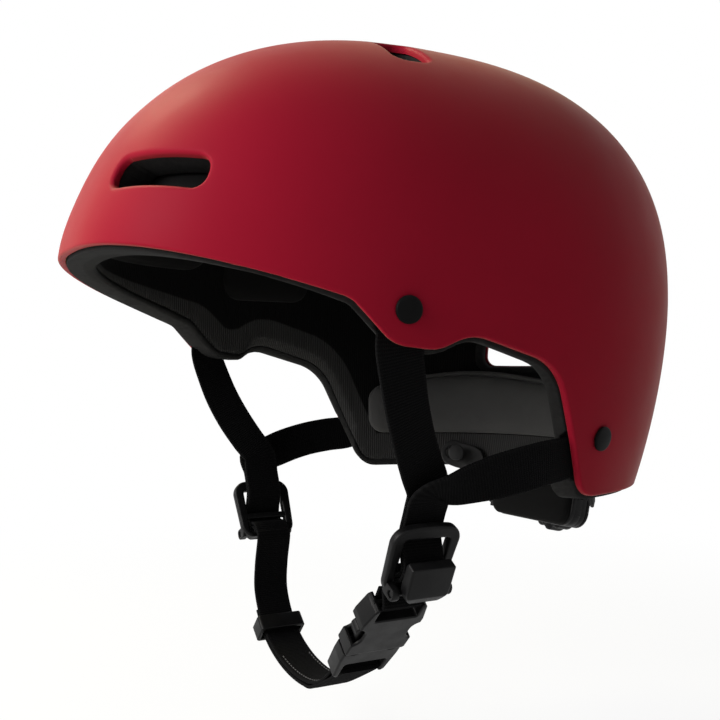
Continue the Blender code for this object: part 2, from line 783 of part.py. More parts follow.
def make_anchors():
    nut_low = -(NUT_INSET + ANCHOR_NUT_THICKNESS)
    for name, side, y, z in anchors():
        placed = anchor_frame(y, z, side)
        low = SEAT_GAP
        profile = [(0, nut_low), (RIVET_SHANK_RADIUS, nut_low), (RIVET_SHANK_RADIUS, low),
                   (RIVET_RADIUS, low),
                   (RIVET_RADIUS, low + 0.5 * RIVET_HEAD), (0.88 * RIVET_RADIUS, low + 0.85 * RIVET_HEAD),
                   (0.5 * RIVET_RADIUS, low + RIVET_HEAD), (0, low + RIVET_HEAD)]
        turned(f"{name}_rivet", profile, rivet_plastic(), placed)
        bore = RIVET_SHANK_RADIUS + HOLE_GAP
        nut = cylinder(f"{name}_anchor_nut", ANCHOR_NUT_RADIUS, nut_low, -NUT_INSET, steel(), placed)
        cut(nut, cylinder(f"{name}_nut_bore", bore, -0.02, 0.02, foam(), placed))


def pierce(strap, name, side, y, z):
    hole = RIVET_SHANK_RADIUS + HOLE_GAP
    return cut(strap, cylinder(f"{name}_strap_hole", hole, -0.02, 0.02, foam(), anchor_frame(y, z, side)))


def make_straps():
    for word, side in (("left", LEFT), ("right", RIGHT)):
        hidden, hanging = rear_route(side)
        path = smooth_path(hidden + hanging, STRAP_STEPS)
        wide = woven_widths(path, side, len(path) - STRAP_STEPS * 10 - 1, STRAP_STEPS * (len(hidden) - 1))
        strap = ribbon(f"{word}_rear_strap", path, wide, webbing())
        pierce(strap, f"{word}_rear", side, *REAR_ANCHOR)

        hidden, hanging = front_route(side)
        path = smooth_path(hidden + hanging, STRAP_STEPS)
        woven_from = len(path) - STRAP_STEPS * 11 - 1
        if side == LEFT:
            path = path[:-1] + smooth_path([path[-1], *left_tail()], 1)
        else:
            entry, loop, back = right_tail()
            path = path[:-1] + smooth_path([path[-1], *chin_run(), entry, *loop, *back], STRAP_STEPS)
        wide = woven_widths(path, side, woven_from, STRAP_STEPS * (len(hidden) - 1))
        for k in range(woven_from, len(path)):
            wide[k] = wide[woven_from]
        strap = ribbon(f"{word}_front_strap", path, wide, webbing())
        pierce(strap, f"{word}_front", side, *FRONT_ANCHOR)


# Divider, buckle and keeper


def divider_outline():
    """A rounded rectangle with an arched top, narrowing towards its foot."""
    width, height, _ = DIVIDER_SIZE
    plain = rounded_rectangle(width, height, DIVIDER_CORNER, 4)
    level = 0.5 * width - DIVIDER_CORNER
    top = [(level * (1 - 2 * k / 6), 0.5 * height) for k in range(1, 6)]
    outline = []
    for x, y in plain[:5] + top + plain[5:]:
        arch = DIVIDER_ARCH * (1 - (2 * x / width) ** 2) if y > 0 else 0
        outline.append((x * (1 - DIVIDER_TAPER * (0.5 - y / height)), y + arch))
    return outline


def make_divider(word, side):
    placed = divider_frame(side)
    width, height, thick = DIVIDER_SIZE
    half = 0.5 * thick
    outline = divider_outline()
    body = prism(f"{word}_divider", outline, -half, half, moulding(), placed)
    gap = WEBBING_WIDTH + 0.0020
    low, high = DIVIDER_CROSSBAR
    window = (high, 0.5 * height - DIVIDER_BAR)
    slot = (-0.5 * height + 0.0028, low)
    for label, (a, b) in (("window", window), ("slot", slot)):
        cut(body, block(f"{word}_divider_{label}", (-0.5 * gap, a, -0.02), (0.5 * gap, b, 0.02), foam(),
                        placed, 0.001))
    trim = block(f"{word}_crossbar_trim", (-0.5 * gap, low - 0.001, DIVIDER_CROSSBAR_TOP),
                 (0.5 * gap, high + 0.001, 0.02),
                 foam(), placed)
    cut(body, trim)
    ear = FLAP_PIN_RADIUS + 0.0014
    ear_z = flap_pin_height()
    for label, where in (("inner", -1), ("outer", 1)):
        inside = 0.5 * gap + 0.0002
        outside = LUG_OUTSIDE
        lug = block(f"{word}_{label}_lug", (min(where * inside, where * outside), FLAP_PIN_Y - ear, 0),
                    (max(where * inside, where * outside), FLAP_PIN_Y + ear, ear_z + ear), foam(), placed)
        cut(body, lug, "UNION")
    bore = Matrix.Translation((0, FLAP_PIN_Y, ear_z)) @ Matrix.Rotation(math.radians(90), 4, "Y")
    cut(body, cylinder(f"{word}_lug_bore", FLAP_PIN_RADIUS + HOLE_GAP, -0.03, 0.03, foam(), placed @ bore,
                       12))


def flap_pin_height():
    return 0.5 * DIVIDER_SIZE[2] + 0.0036


def make_flap(word, side):
    """The cam flap that grips the straps; its origin is on its hinge axis."""
    placed = divider_frame(side) @ Matrix.Translation((0, FLAP_PIN_Y, flap_pin_height()))
    inner_half = 0.5 * (WEBBING_WIDTH + 0.0020) - HOLE_GAP
    low = DIVIDER_CROSSBAR_TOP + 2 * WEBBING_THICKNESS + 6 * SEAT_GAP - flap_pin_height()
    high = low + FLAP_THICKNESS
    nose = FLAP_HEIGHT - 0.0022
    side_view = [(-0.0022, -0.0020), (0.0016, low), (nose, low), (nose + 0.0018, low + 0.0012),
                 (nose + 0.0012, high), (0.0010, high + 0.0004), (-0.0020, high - 0.0010),
                 (-0.0030, 0.0004)]
    rings = [[Vector((x, y, z)) for y, z in side_view] for x in (-inner_half, inner_half)]
    flap = loft(f"{word}_divider_flap", rings, moulding(), placed)
    pin = cylinder(f"{word}_flap_pin", FLAP_PIN_RADIUS, -LUG_OUTSIDE + 0.0006, LUG_OUTSIDE - 0.0006, foam(),
                   placed @ Matrix.Rotation(math.radians(90), 4, "Y"), 12)
    cut(flap, pin, "UNION")


def wall_inside(y):
    """Half width of the female half's cavity, narrowing from the windows to the mouth."""
    wide = 0.5 * BUCKLE_WIDTH - 0.0014
    narrow = 0.5 * BUCKLE_WIDTH - FEMALE_WALL - 0.0004
    share = (y - FEMALE_MOUTH) / (WINDOW[0] - FEMALE_MOUTH)
    return narrow + (wide - narrow) * min(1.0, max(0.0, share))


def make_female():
    placed = buckle_frame()
    half_width, half = 0.5 * BUCKLE_WIDTH, 0.5 * BUCKLE_THICKNESS
    shoulder = half_width - 0.0020
    outline = [(half_width - 0.0008, FEMALE_MOUTH), (half_width, FEMALE_MOUTH + 0.0010),
               (half_width, WINDOW[1] + 0.0030),
               (shoulder, FEMALE_LENGTH - 0.0012), (shoulder - 0.0014, FEMALE_LENGTH)]
    outline = outline + [(-x, y) for x, y in reversed(outline)]
    body = prism("buckle_female", outline, -half, half, moulding(), placed)
    depth = 0.5 * MALE_THICKNESS - 0.0011 + BUCKLE_FIT
    mouth = FEMALE_MOUTH - 0.002
    cavity = [(wall_inside(mouth), mouth), (wall_inside(FEMALE_MOUTH), FEMALE_MOUTH),
              (wall_inside(WINDOW[0]), WINDOW[0]),
              (wall_inside(WINDOW[0]), FEMALE_CAVITY_END)]
    cavity = cavity + [(-x, y) for x, y in reversed(cavity)]
    cut(body, prism("female_cavity", cavity, -depth, depth, foam(), placed))
    for label, where in (("near", 1), ("far", -1)):
        middle = where * (half_width + 0.0016)
        size = WINDOW[1] - WINDOW[0]
        bite = rounded_rectangle(0.0100, size, 0.0042, 4, (middle, 0.5 * sum(WINDOW)))
        cut(body, prism(f"female_{label}_window", bite, -0.02, 0.02, foam(), placed))
    slot_end = FEMALE_LENGTH - 2 * BUCKLE_BAR_RADIUS
    gap = WEBBING_WIDTH + 0.0016
    cut(body, block("female_slot", (-0.5 * gap, slot_end - BUCKLE_SLOT, -0.02), (0.5 * gap, slot_end, 0.02),
                    foam(), placed, 0.001))
    for label, low, high in (("over", BUCKLE_BAR_RADIUS, 0.02), ("under", -0.02, -BUCKLE_BAR_RADIUS)):
        cut(body, block(f"female_bar_{label}", (-0.5 * gap, slot_end - 0.001, low),
                        (0.5 * gap, FEMALE_LENGTH + 0.01, high),
                        foam(), placed, 0.001))


def make_male():
    placed = buckle_frame()
    half_width, half = 0.5 * BUCKLE_WIDTH, 0.5 * MALE_THICKNESS
    top = FEMALE_MOUTH - BUCKLE_FIT
    end = -MALE_BASE_LENGTH
    outline = [(half_width - 0.0004, top), (half_width - 0.0004, -0.0040),
               (half_width - 0.0016, end + 0.0012), (half_width - 0.0030, end)]
    outline = outline + [(-x, y) for x, y in reversed(outline)]
    base = prism("buckle_male", outline, -half, half, moulding(), placed)
    gap = WEBBING_WIDTH + 0.0016
    slot_low = end + 2 * BUCKLE_BAR_RADIUS
    cut(base, block("male_slot", (-0.5 * gap, slot_low, -0.02),
                    (0.5 * gap, slot_low + BUCKLE_SLOT + 0.0022, 0.02), foam(), placed, 0.001))
    for label, low, high in (("over", BUCKLE_BAR_RADIUS, 0.02), ("under", -0.02, -BUCKLE_BAR_RADIUS)):
        cut(base, block(f"male_bar_{label}", (-0.5 * gap, end - 0.01, low),
                        (0.5 * gap, slot_low + 0.001, high), foam(), placed, 0.001))
    blade = half - 0.0011
    guide = block("male_guide", (-0.5 * GUIDE_WIDTH, top - 0.002, -blade),
                  (0.5 * GUIDE_WIDTH, FEMALE_CAVITY_END - 0.004, blade), foam(), placed)
    cut(base, guide, "UNION")
    for where in (1, -1):
        x, y = where * PRONG_PIVOT[0], PRONG_PIVOT[1]
        seat = Matrix.Translation((x, y, 0))
        cut(base, cylinder(f"prong_seat_{where}", 0.5 * PRONG_WIDTH + BUCKLE_FIT + 0.0006, -0.02, 0.02,
                           foam(), placed @ seat, 16))


def make_prong(word, where):
    """A spring prong with its button; its origin is on the line it bends about."""
    placed = buckle_frame() @ Matrix.Translation((where * PRONG_PIVOT[0], PRONG_PIVOT[1], 0))
    half = 0.5 * MALE_THICKNESS - 0.0011
    inner = -0.5 * PRONG_WIDTH
    start = WINDOW[0] + 0.0008 - PRONG_PIVOT[1]
    end = PRONG_LENGTH
    button = 0.5 * BUCKLE_WIDTH - 0.0004 - PRONG_PIVOT[0]
    heel = 0.5 * BUCKLE_WIDTH - 0.0025 - PRONG_PIVOT[0]
    outline = [(inner + 0.0006, -0.0012), (0.5 * PRONG_WIDTH - 0.0006, -0.0012),
               (0.5 * PRONG_WIDTH, 0.0004), (0.5 * PRONG_WIDTH, start - 0.0018),
               (heel - 0.0004, start), (heel + 0.0004, start + 0.0013),
               (heel + 0.0012, start + 0.0029), (button - 0.00035, end - 0.0045),
               (button, end - 0.0030), (button - 0.0012, end - 0.0008),
               (0.5 * PRONG_WIDTH - 0.0006, end), (inner, end - 0.0010), (inner, 0.0004)]
    outline = [(where * x, y) for x, y in outline]
    prism(f"buckle_{word}_prong", outline, -half, half, moulding(), placed)


def keeper_frame():
    run = smooth_path(chin_run(), 3)
    k = 3 * 2 + 1
    along = (run[k + 1] - run[k - 1]).normalized()
    below = Vector((along.z, 0, -along.x))
    return frame_at(run[k] + below * 0.5 * LAYER_STEP, (0, 1, 0), along)


def make_keeper():
    placed = keeper_frame()
    inside = (WEBBING_WIDTH + 2 * KEEPER_FIT, LAYER_STEP + WEBBING_THICKNESS + 4 * KEEPER_FIT)
    turn = placed @ Matrix.Rotation(math.radians(90), 4, "X")
    half = 0.5 * KEEPER_LENGTH
    outline = rounded_rectangle(inside[0] + 2 * KEEPER_WALL, inside[1] + 2 * KEEPER_WALL, 0.0016, 3)
    ring = prism("strap_keeper", outline, -half, half, moulding(), turn)
    cut(ring, prism("keeper_opening", rounded_rectangle(*inside, 0.0004, 1), -0.02, 0.02, foam(), turn))


# Dial fit band


def dial_frame():
    """x across, y up and z rearward along the dial's axis."""
    tilt = math.radians(DIAL_TILT)
    return frame_at(DIAL_AT, (-1, 0, 0), (0, math.sin(tilt), math.cos(tilt)))


PITCH_RADIUS = 0.5 * PINION_TEETH * GEAR_MODULE
TOOTH_PITCH = math.pi * GEAR_MODULE
RACK_LOW = HOUSING_FLOOR + 0.0012


def make_housing():
    placed = dial_frame()
    width, height, depth = HOUSING_SIZE
    tray = prism("dial_housing", rounded_rectangle(width, height, 0.008, 4), 0, depth, moulding(), placed)
    inside = rounded_rectangle(width - 2 * HOUSING_WALL, height - 2 * HOUSING_WALL, 0.006, 4)
    cut(tray, prism("housing_cavity", inside, HOUSING_FLOOR, depth + 0.01, foam(), placed))
    for word, side in (("left", LEFT), ("right", RIGHT)):
        low, high = sorted((side * (PITCH_RADIUS - 0.0008), side * (rack_back() + HOLE_GAP)))
        near, far = sorted((-side * 0.3 * width, -side * 0.6 * width))
        cut(tray, block(f"housing_{word}_slot", (near, low, RACK_LOW - HOLE_GAP),
                        (far, high, RACK_LOW + RACK_THICKNESS + HOLE_GAP),
                        foam(), placed, 0.0002))
    cover = prism("dial_cover", rounded_rectangle(width, height, 0.008, 4), depth + SEAT_GAP,
                  depth + SEAT_GAP + COVER_THICKNESS,
                  moulding(), placed)
    cut(cover, cylinder("cover_bore", SHAFT_RADIUS + HOLE_GAP, -0.05, 0.05, foam(), placed))


def rack_back():
    return PITCH_RADIUS + 1.1 * GEAR_MODULE + RACK_BACK


def knob_low():
    return HOUSING_SIZE[2] + 2 * SEAT_GAP + COVER_THICKNESS


def make_pinion():
    """The pinion and its shaft, which the knob turns."""
    outline = []
    for tooth in range(PINION_TEETH):
        middle = 2 * math.pi * (tooth + 0.5) / PINION_TEETH + 0.5 * math.pi
        foot, point = PITCH_RADIUS - 1.1 * GEAR_MODULE, PITCH_RADIUS + 0.55 * GEAR_MODULE
        for radius, half in ((foot, 0.30), (point, 0.10)):
            share = half * TOOTH_PITCH / PITCH_RADIUS
            outline.append((radius, middle - share))
        outline.append((PITCH_RADIUS + 0.55 * GEAR_MODULE, middle + 0.10 * TOOTH_PITCH / PITCH_RADIUS))
        outline.append((PITCH_RADIUS - 1.1 * GEAR_MODULE, middle + 0.30 * TOOTH_PITCH / PITCH_RADIUS))
    flat = [(r * math.cos(t), r * math.sin(t)) for r, t in outline]
    low = HOUSING_FLOOR + HOLE_GAP
    pinion = prism("dial_pinion", flat, low + 0.0006, low + 0.0006 + RACK_THICKNESS, moulding(),
                   dial_frame())
    shaft = cylinder("pinion_shaft", SHAFT_RADIUS, low, knob_low() + 0.7 * KNOB_THICKNESS, foam(),
                     dial_frame(), 16)
    cut(pinion, shaft, "UNION")


def make_knob():
    """The ribbed knob, with the blind bore that takes the pinion's shaft."""
    low = knob_low()
    steps = 4 * KNOB_LOBES
    rings = []
    for height, size in ((0, 0.90), (0.12, 1.0), (0.72, 1.0), (0.90, 0.95), (1.0, 0.84)):
        ring = []
        for k in range(steps):
            angle = 2 * math.pi * k / steps
            radius = size * KNOB_RADIUS - KNOB_LOBE_DEPTH * (0.5 - 0.5 * math.cos(KNOB_LOBES * angle))
            ring.append(Vector((radius * math.cos(angle), radius * math.sin(angle),
                                low + height * KNOB_THICKNESS)))
        rings.append(ring)
    knob = loft("dial_knob", rings, moulding(), dial_frame())
    bore = cylinder("knob_bore", SHAFT_RADIUS + HOLE_GAP, low - 0.01, low + 0.7 * KNOB_THICKNESS + HOLE_GAP,
                    foam(), dial_frame(), 16)
    cut(knob, bore)


def stud_point(side):
    """Where a band stud meets the liner's inside, and the direction out of the head there."""
    x, z = BAND_STUD_AT
    longitude = dome_longitude(side * x, z, LINER_INSET + LINER_WALL)
    inset = LINER_INSET + LINER_WALL
    return dome_point(longitude, z, inset), dome_normal(longitude, z, inset)


def band_gap():
    """From the liner's inside to the band's outer face."""
    return 2 * SEAT_GAP + STUD_FLANGE + FACET_GAP


def make_stud(word, side):
    foot, out = stud_point(side)
    level = Vector((0, 0, 1)).cross(out)
    placed = frame_at(foot, level, out.cross(level))
    reach = band_gap() + BAND_THICKNESS + 0.85 * BAND_TRAVEL + 0.0014
    start = -SEAT_GAP - FACET_GAP
    neck = start - STUD_FLANGE
    profile = [(0, -reach - 0.0014), (0.8 * STUD_FLANGE_RADIUS, -reach - 0.0010),
               (0.9 * STUD_FLANGE_RADIUS, -reach), (STUD_RADIUS, -reach), (STUD_RADIUS, neck),
               (STUD_FLANGE_RADIUS, neck), (STUD_FLANGE_RADIUS, start), (0, start)]
    turned(f"{word}_band_stud", profile, moulding(), placed, 16)


def make_band(word, side):
    """A fit band: a rack in the housing, and a strip out to the stud; its origin is on the rack."""
    placed = dial_frame()
    sign = side
    back = rack_back()
    root = PITCH_RADIUS + 0.9 * GEAR_MODULE
    tip = PITCH_RADIUS - 0.55 * GEAR_MODULE
    first, last = -4, 6
    start = first * TOOTH_PITCH - 0.6 * TOOTH_PITCH
    end = 0.5 * HOUSING_SIZE[0] + BAND_TRAVEL + 0.003
    lower = [(start, root)]
    for tooth in range(first, last + 1):
        x = tooth * TOOTH_PITCH
        lower += [(x - 0.26 * TOOTH_PITCH, root), (x - 0.10 * TOOTH_PITCH, tip),
                  (x + 0.10 * TOOTH_PITCH, tip), (x + 0.26 * TOOTH_PITCH, root)]
    outline = lower + [(end, root), (end, back), (start, back)]
    outline = [(-sign * x, sign * y) for x, y in outline]
    band = prism(f"{word}_fit_band", outline, RACK_LOW, RACK_LOW + RACK_THICKNESS, moulding(), placed)

    foot, out = stud_point(side)
    middle = foot - out * (band_gap() + 0.5 * BAND_THICKNESS)
    tangent = Vector((0, 0, 1)).cross(out).normalized() * side
    if tangent.x * side < 0:
        tangent = -tangent
    axis = RACK_LOW + 0.5 * RACK_THICKNESS
    near = placed @ Vector((-sign * (end - 0.003), sign * 0.5 * (root + back), axis))
    clear = placed @ Vector((-sign * (end + 0.003), sign * 0.25 * back, axis - 0.0022))
    angle = math.radians(BAND_SLOPE)
    slope = tangent * math.cos(angle) + Vector((0, 0, math.sin(angle)))
    bend = middle - slope * 0.0085 - out * 0.0012
    path = smooth_path([near, clear, clear.lerp(bend, 0.5) - out * 0.0010, bend, middle,
                        middle + slope * 0.0095], 4)
    start_up = placed.to_3x3() @ Vector((0, 1, 0))
    end_up = out.cross(tangent)
    end_up = end_up if end_up.z > 0 else -end_up
    wide = [start_up.lerp(end_up, min(1.0, k / 12)) for k in range(len(path))]
    rings = []
    narrow = back - root
    for k, here in enumerate(path):
        run = (path[min(k + 1, len(path) - 1)] - path[max(k - 1, 0)]).normalized()
        up = (wide[k] - run * wide[k].dot(run)).normalized()
        face = up.cross(run)
        share = min(1.0, max(0.0, (k - 7) / 5))
        height = narrow * (1 - share) + BAND_HEIGHT * share
        w, t = 0.5 * height * up, 0.5 * BAND_THICKNESS * face
        rings.append([here - w - t, here + w - t, here + w + t, here - w + t])
    strip = loft(f"{word}_band_strip", rings, foam())
    cut(band, strip, "UNION")
    stud = frame_at(middle, tangent, out.cross(tangent) if out.cross(tangent).z > 0 else tangent.cross(out))
    shift = 0.5 * BAND_TRAVEL * abs(tangent.x)
    slot = rounded_rectangle(2 * STUD_RADIUS + 2 * shift + 0.0026, 2 * STUD_RADIUS + 0.0018,
                             STUD_RADIUS + 0.0009, 4, (shift, 0))
    cut(band, prism(f"{word}_band_slot", slot, -0.02, 0.02, foam(), stud))


def make_nape_pad():
    placed = dial_frame()
    width, height, _ = HOUSING_SIZE
    rings = []
    for depth, size in ((-SEAT_GAP, 0.94), (-0.0024, 0.97), (-0.0042, 0.90), (-0.0050, 0.74)):
        outline = rounded_rectangle(size * width, size * height, 0.007 * size, 4)
        rings.append([Vector((x, y, depth)) for x, y in outline])
    loft("nape_pad", rings, pad_cloth(), placed)


def make_fit_band():
    make_housing()
    make_pinion()
    make_knob()
    make_nape_pad()
    for word, side in (("left", LEFT), ("right", RIGHT)):
        make_stud(word, side)
        make_band(word, side)


def main():
    clear_scene()
    make_shell()
    make_liner()
    make_pads()
    make_anchors()
    make_straps()
    for word, side in (("left", LEFT), ("right", RIGHT)):
        make_divider(word, side)
        make_flap(word, side)
    make_female()
    make_male()
    make_prong("front", -1)
    make_prong("rear", 1)
    make_keeper()
    make_fit_band()


main()
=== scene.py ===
"""A water sports helmet, dressed piece by piece over its CAD frame. Each cell is one step of the lesson."""

# %% [markdown]
# # A water sports helmet
# The real helmet is a matte moulded shell over a soft foam liner, with cloth pads, a dial fit band at the
# nape and a webbing harness that closes under the chin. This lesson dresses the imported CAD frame: each
# visible piece is worked out with numpy in the frame's own metres, and rides on the body that its CAD
# node belongs to. The front of the helmet faces -Y, the wearer's left is +X, and Z is up.

# %% Load the frame
import math

import bpy
import numpy as np
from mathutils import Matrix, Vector


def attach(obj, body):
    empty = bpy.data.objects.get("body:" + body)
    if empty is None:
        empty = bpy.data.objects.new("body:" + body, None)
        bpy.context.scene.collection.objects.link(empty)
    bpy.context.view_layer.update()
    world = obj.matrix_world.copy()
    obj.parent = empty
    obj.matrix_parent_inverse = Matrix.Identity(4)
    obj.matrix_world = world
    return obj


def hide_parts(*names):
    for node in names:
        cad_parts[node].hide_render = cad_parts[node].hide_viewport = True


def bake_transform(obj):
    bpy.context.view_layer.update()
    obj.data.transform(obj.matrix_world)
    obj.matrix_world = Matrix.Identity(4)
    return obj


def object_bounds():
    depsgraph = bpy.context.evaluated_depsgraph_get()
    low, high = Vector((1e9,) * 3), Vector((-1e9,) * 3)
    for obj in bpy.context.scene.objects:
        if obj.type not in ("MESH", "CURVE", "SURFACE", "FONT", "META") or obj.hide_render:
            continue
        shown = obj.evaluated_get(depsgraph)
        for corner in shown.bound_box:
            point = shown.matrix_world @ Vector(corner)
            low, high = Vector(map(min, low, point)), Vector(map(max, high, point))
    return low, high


MM = 0.001
SIDES = (("left", 1), ("right", -1))
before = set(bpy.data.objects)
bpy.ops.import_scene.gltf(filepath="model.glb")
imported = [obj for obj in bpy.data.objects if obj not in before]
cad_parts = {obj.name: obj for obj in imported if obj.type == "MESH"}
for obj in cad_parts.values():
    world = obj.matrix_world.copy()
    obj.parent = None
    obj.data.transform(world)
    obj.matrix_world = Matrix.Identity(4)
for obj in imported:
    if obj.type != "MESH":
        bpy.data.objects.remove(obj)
cad_box = [[float(c) for c in corner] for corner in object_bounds()]

# %% [markdown]
# ## Camera, light and floor
# The photograph was taken from the wearer's front left, level with the ear, close enough that the near
# side looks larger than the far one. The camera sits where the photograph's own perspective puts it. A
# large panel in front lights the brow, a warm one high on the far left tints the crown, and two weak ones
# keep the side and the rear from going black. The background is white where it is seen directly, in a
# gloss or through glass, and much weaker where it lights the helmet. The floor lies a little below the
# chin strap. It takes a soft shadow near the helmet and fades to plain white further out, so that no
# horizon shows.

# %% Camera
CAMERA_TURN = math.radians(61.19)
CAMERA_DISTANCE = 438.16 * MM
CAMERA_AXIS = np.array([0.0, -7.01, -31.8]) * MM
SENSOR_WIDTH = 36.0
PICTURE_PIXELS = 720.0
FOCAL_PIXELS = 958.49
PRINCIPAL_ROW = 372.0

lens = bpy.data.cameras.new("camera")
lens.sensor_width = SENSOR_WIDTH
lens.lens = FOCAL_PIXELS * SENSOR_WIDTH / PICTURE_PIXELS
lens.shift_y = (PRINCIPAL_ROW - 0.5 * PICTURE_PIXELS) / PICTURE_PIXELS
lens.clip_start = 20.0 * MM
camera = bpy.data.objects.new("camera", lens)
away = np.array([math.sin(CAMERA_TURN), -math.cos(CAMERA_TURN), 0.0])
camera.location = (CAMERA_AXIS + CAMERA_DISTANCE * away).tolist()
camera.rotation_euler = (math.radians(90.0), 0.0, CAMERA_TURN)
bpy.context.scene.collection.objects.link(camera)
bpy.context.scene.camera = camera
bpy.context.scene.view_settings.view_transform = "Standard"
print("camera at", np.round(camera.location, 4).tolist(), "lens", round(lens.lens, 2), "mm")

# %% Lights
# Each panel has its place, the point that it faces, its size in metres, its watts and its colour.
PANELS = {
    "key_panel": ((-0.05, -1.16, 0.50), (0.0, -0.03, 0.0), 0.7, 19.0, (1.0, 0.97, 0.95)),
    "top_panel": ((-0.75, -0.40, 0.95), (0.0, -0.02, 0.03), 0.5, 9.5, (0.98, 0.94, 0.62)),
    "side_panel": ((1.20, 0.10, 0.30), (0.0, 0.0, -0.03), 0.9, 0.2, (1.0, 0.97, 0.98)),
    "rear_panel": ((0.30, 1.20, 0.45), (0.0, 0.0, -0.02), 0.8, 0.6, (1.0, 1.0, 1.0)),
}
for name, (at, towards, size, watts, colour) in PANELS.items():
    light = bpy.data.lights.new(name, "AREA")
    light.size = size
    light.energy = watts
    light.color = colour
    lamp = bpy.data.objects.new(name, light)
    lamp.location = at
    lamp.rotation_euler = (Vector(towards) - Vector(at)).to_track_quat("-Z", "Y").to_euler()
    bpy.context.scene.collection.objects.link(lamp)
print("lamps", list(PANELS))


# %% Node trees
class NodeTree:
    """A cleared node tree, with short ways to add nodes. A value is a number or another node's output."""

    def __init__(self, owner):
        owner.use_nodes = True
        self.tree = owner.node_tree
        self.tree.nodes.clear()

    def feed(self, value, socket):
        """Join an output to an input, or set the input's own constant."""
        if isinstance(value, bpy.types.NodeSocket):
            self.tree.links.new(value, socket)
        else:
            socket.default_value = value

    def add(self, kind, *values, **settings):
        """A node: values go to its first inputs, settings to properties or inputs, with _ for a space."""
        node = self.tree.nodes.new("ShaderNode" + kind)
        for key, value in settings.items():
            if hasattr(node, key):
                setattr(node, key, value)
            else:
                self.feed(value, node.inputs[key.replace("_", " ")])
        for value, socket in zip(values, node.inputs):
            self.feed(value, socket)
        return node

    def math(self, operation, *values):
        """The result of one operation, such as SUBTRACT."""
        return self.add("Math", *values, operation=operation).outputs[0]

    def ramp(self, value, start, end, low=0.0, high=1.0, kind="LINEAR"):
        """Low at start, high at end and between them in between; start may be the larger."""
        return self.add("MapRange", value, start, end, low, high, interpolation_type=kind).outputs[0]

    def wave(self, value, pitch):
        """A sine wave, from -1 to 1, that repeats once per pitch."""
        return self.math("SINE", self.math("MULTIPLY", value, 2 * math.pi / pitch))

    def object_place(self):
        """The point's place in the object's own metres."""
        return self.add("TexCoord").outputs["Object"]

    def surface_axes(self):
        """The two parameters of the piece's own UV map, each as a value."""
        return self.add("SeparateXYZ", self.add("UVMap", uv_map="surface").outputs[0]).outputs

    def noise(self, where, scale, detail=3.0):
        """Cloudy noise, mostly between 0.3 and 0.7."""
        return self.add("TexNoise", Vector=where, Scale=scale, Detail=detail, Roughness=0.55).outputs["Fac"]

    def cells(self, where, scale, randomness=1.0):
        """The distance to the nearest of many scattered points."""
        return self.add("TexVoronoi", Vector=where, Scale=scale, Randomness=randomness).outputs["Distance"]

    def spread(self, value, low=0.0, high=1.0):
        """Noise stretched so that its usual range becomes low to high."""
        return self.ramp(value, 0.3, 0.7, low, high)

    def colour(self, share, dark, light):
        """A colour between two, by a 0 to 1 share."""
        mix = self.add("Mix", share, data_type="RGBA")
        mix.inputs[6].default_value = (*dark, 1.0)
        mix.inputs[7].default_value = (*light, 1.0)
        return mix.outputs[2]

    def blended(self, share, first, second):
        """The shader between two shader nodes, by a 0 to 1 share."""
        return self.add("MixShader", share, first.outputs[0], second.outputs[0])

    def background_share(self):
        """1 for a ray that should meet the white background: seen directly, in a gloss or through glass."""
        path = self.add("LightPath").outputs
        shiny = self.math("MAXIMUM", path["Is Glossy Ray"], path["Is Transmission Ray"])
        return self.math("MAXIMUM", path["Is Camera Ray"], shiny)


WHITE = (1.0, 1.0, 1.0, 1.0)
print("node helpers ready")

# %% World
WORLD_LEVEL = 0.16
world = bpy.context.scene.world or bpy.data.worlds.new("studio")
bpy.context.scene.world = world
tree = NodeTree(world)
plain = tree.add("Background", WHITE, WORLD_LEVEL)
white = tree.add("Background", WHITE, 1.0)
tree.add("OutputWorld", tree.blended(tree.background_share(), plain, white).outputs[0])
print("world", world.name)

# %% Floor
FLOOR_Z = cad_box[0][2] - 30.0 * MM
FLOOR_REACH = 1.6
FLOOR_GREY = (0.9, 0.9, 0.9, 1.0)
SHADOW_REACH, FADE_REACH, WHITE_NEAR_HELMET = 0.25, 0.75, 0.90

floor_mesh = bpy.data.meshes.new("floor")
corners = [(x * FLOOR_REACH, y * FLOOR_REACH, FLOOR_Z) for x, y in ((-1, -1), (1, -1), (1, 1), (-1, 1))]
floor_mesh.from_pydata(corners, [], [(0, 1, 2, 3)])
floor = bpy.data.objects.new("floor", floor_mesh)
bpy.context.scene.collection.objects.link(floor)
floor_finish = bpy.data.materials.new("pale_floor")
tree = NodeTree(floor_finish)
off_middle = tree.add("VectorMath", tree.object_place(), operation="LENGTH").outputs["Value"]
fade = tree.ramp(off_middle, SHADOW_REACH, FADE_REACH, WHITE_NEAR_HELMET, 1.0, "SMOOTHSTEP")
glow_share = tree.math("MULTIPLY", tree.background_share(), fade)
top_side = tree.blended(glow_share, tree.add("BsdfDiffuse", FLOOR_GREY), tree.add("Emission", WHITE, 1.0))
from_below = tree.add("NewGeometry").outputs["Backfacing"]
surface = tree.blended(from_below, top_side, tree.add("BsdfTransparent"))
tree.add("OutputMaterial", surface.outputs[0])
floor_mesh.materials.append(floor_finish)
print("floor at", round(FLOOR_Z, 4))

# %% [markdown]
# ## One way to make every piece
# Nearly all the helmet's pieces are skins: a dome wall, a strap or a moulded plate is a surface with two
# sides. A skin could be cut with Boolean modifiers, but the cut edges would stay knife sharp. Here each
# skin is a grid of two parameters, trimmed along the zero line of a distance field and scored along a few
# lines beside it. Points then lie exactly on the edge and beside it, so the edge can be rolled over as a
# smooth quarter round. The two sides share one grid, so they are sewn together along the trimmed edge
# into a closed body.

# %% Trimming a grid
ON_LINE = 1e-9
WELD = 2e-7


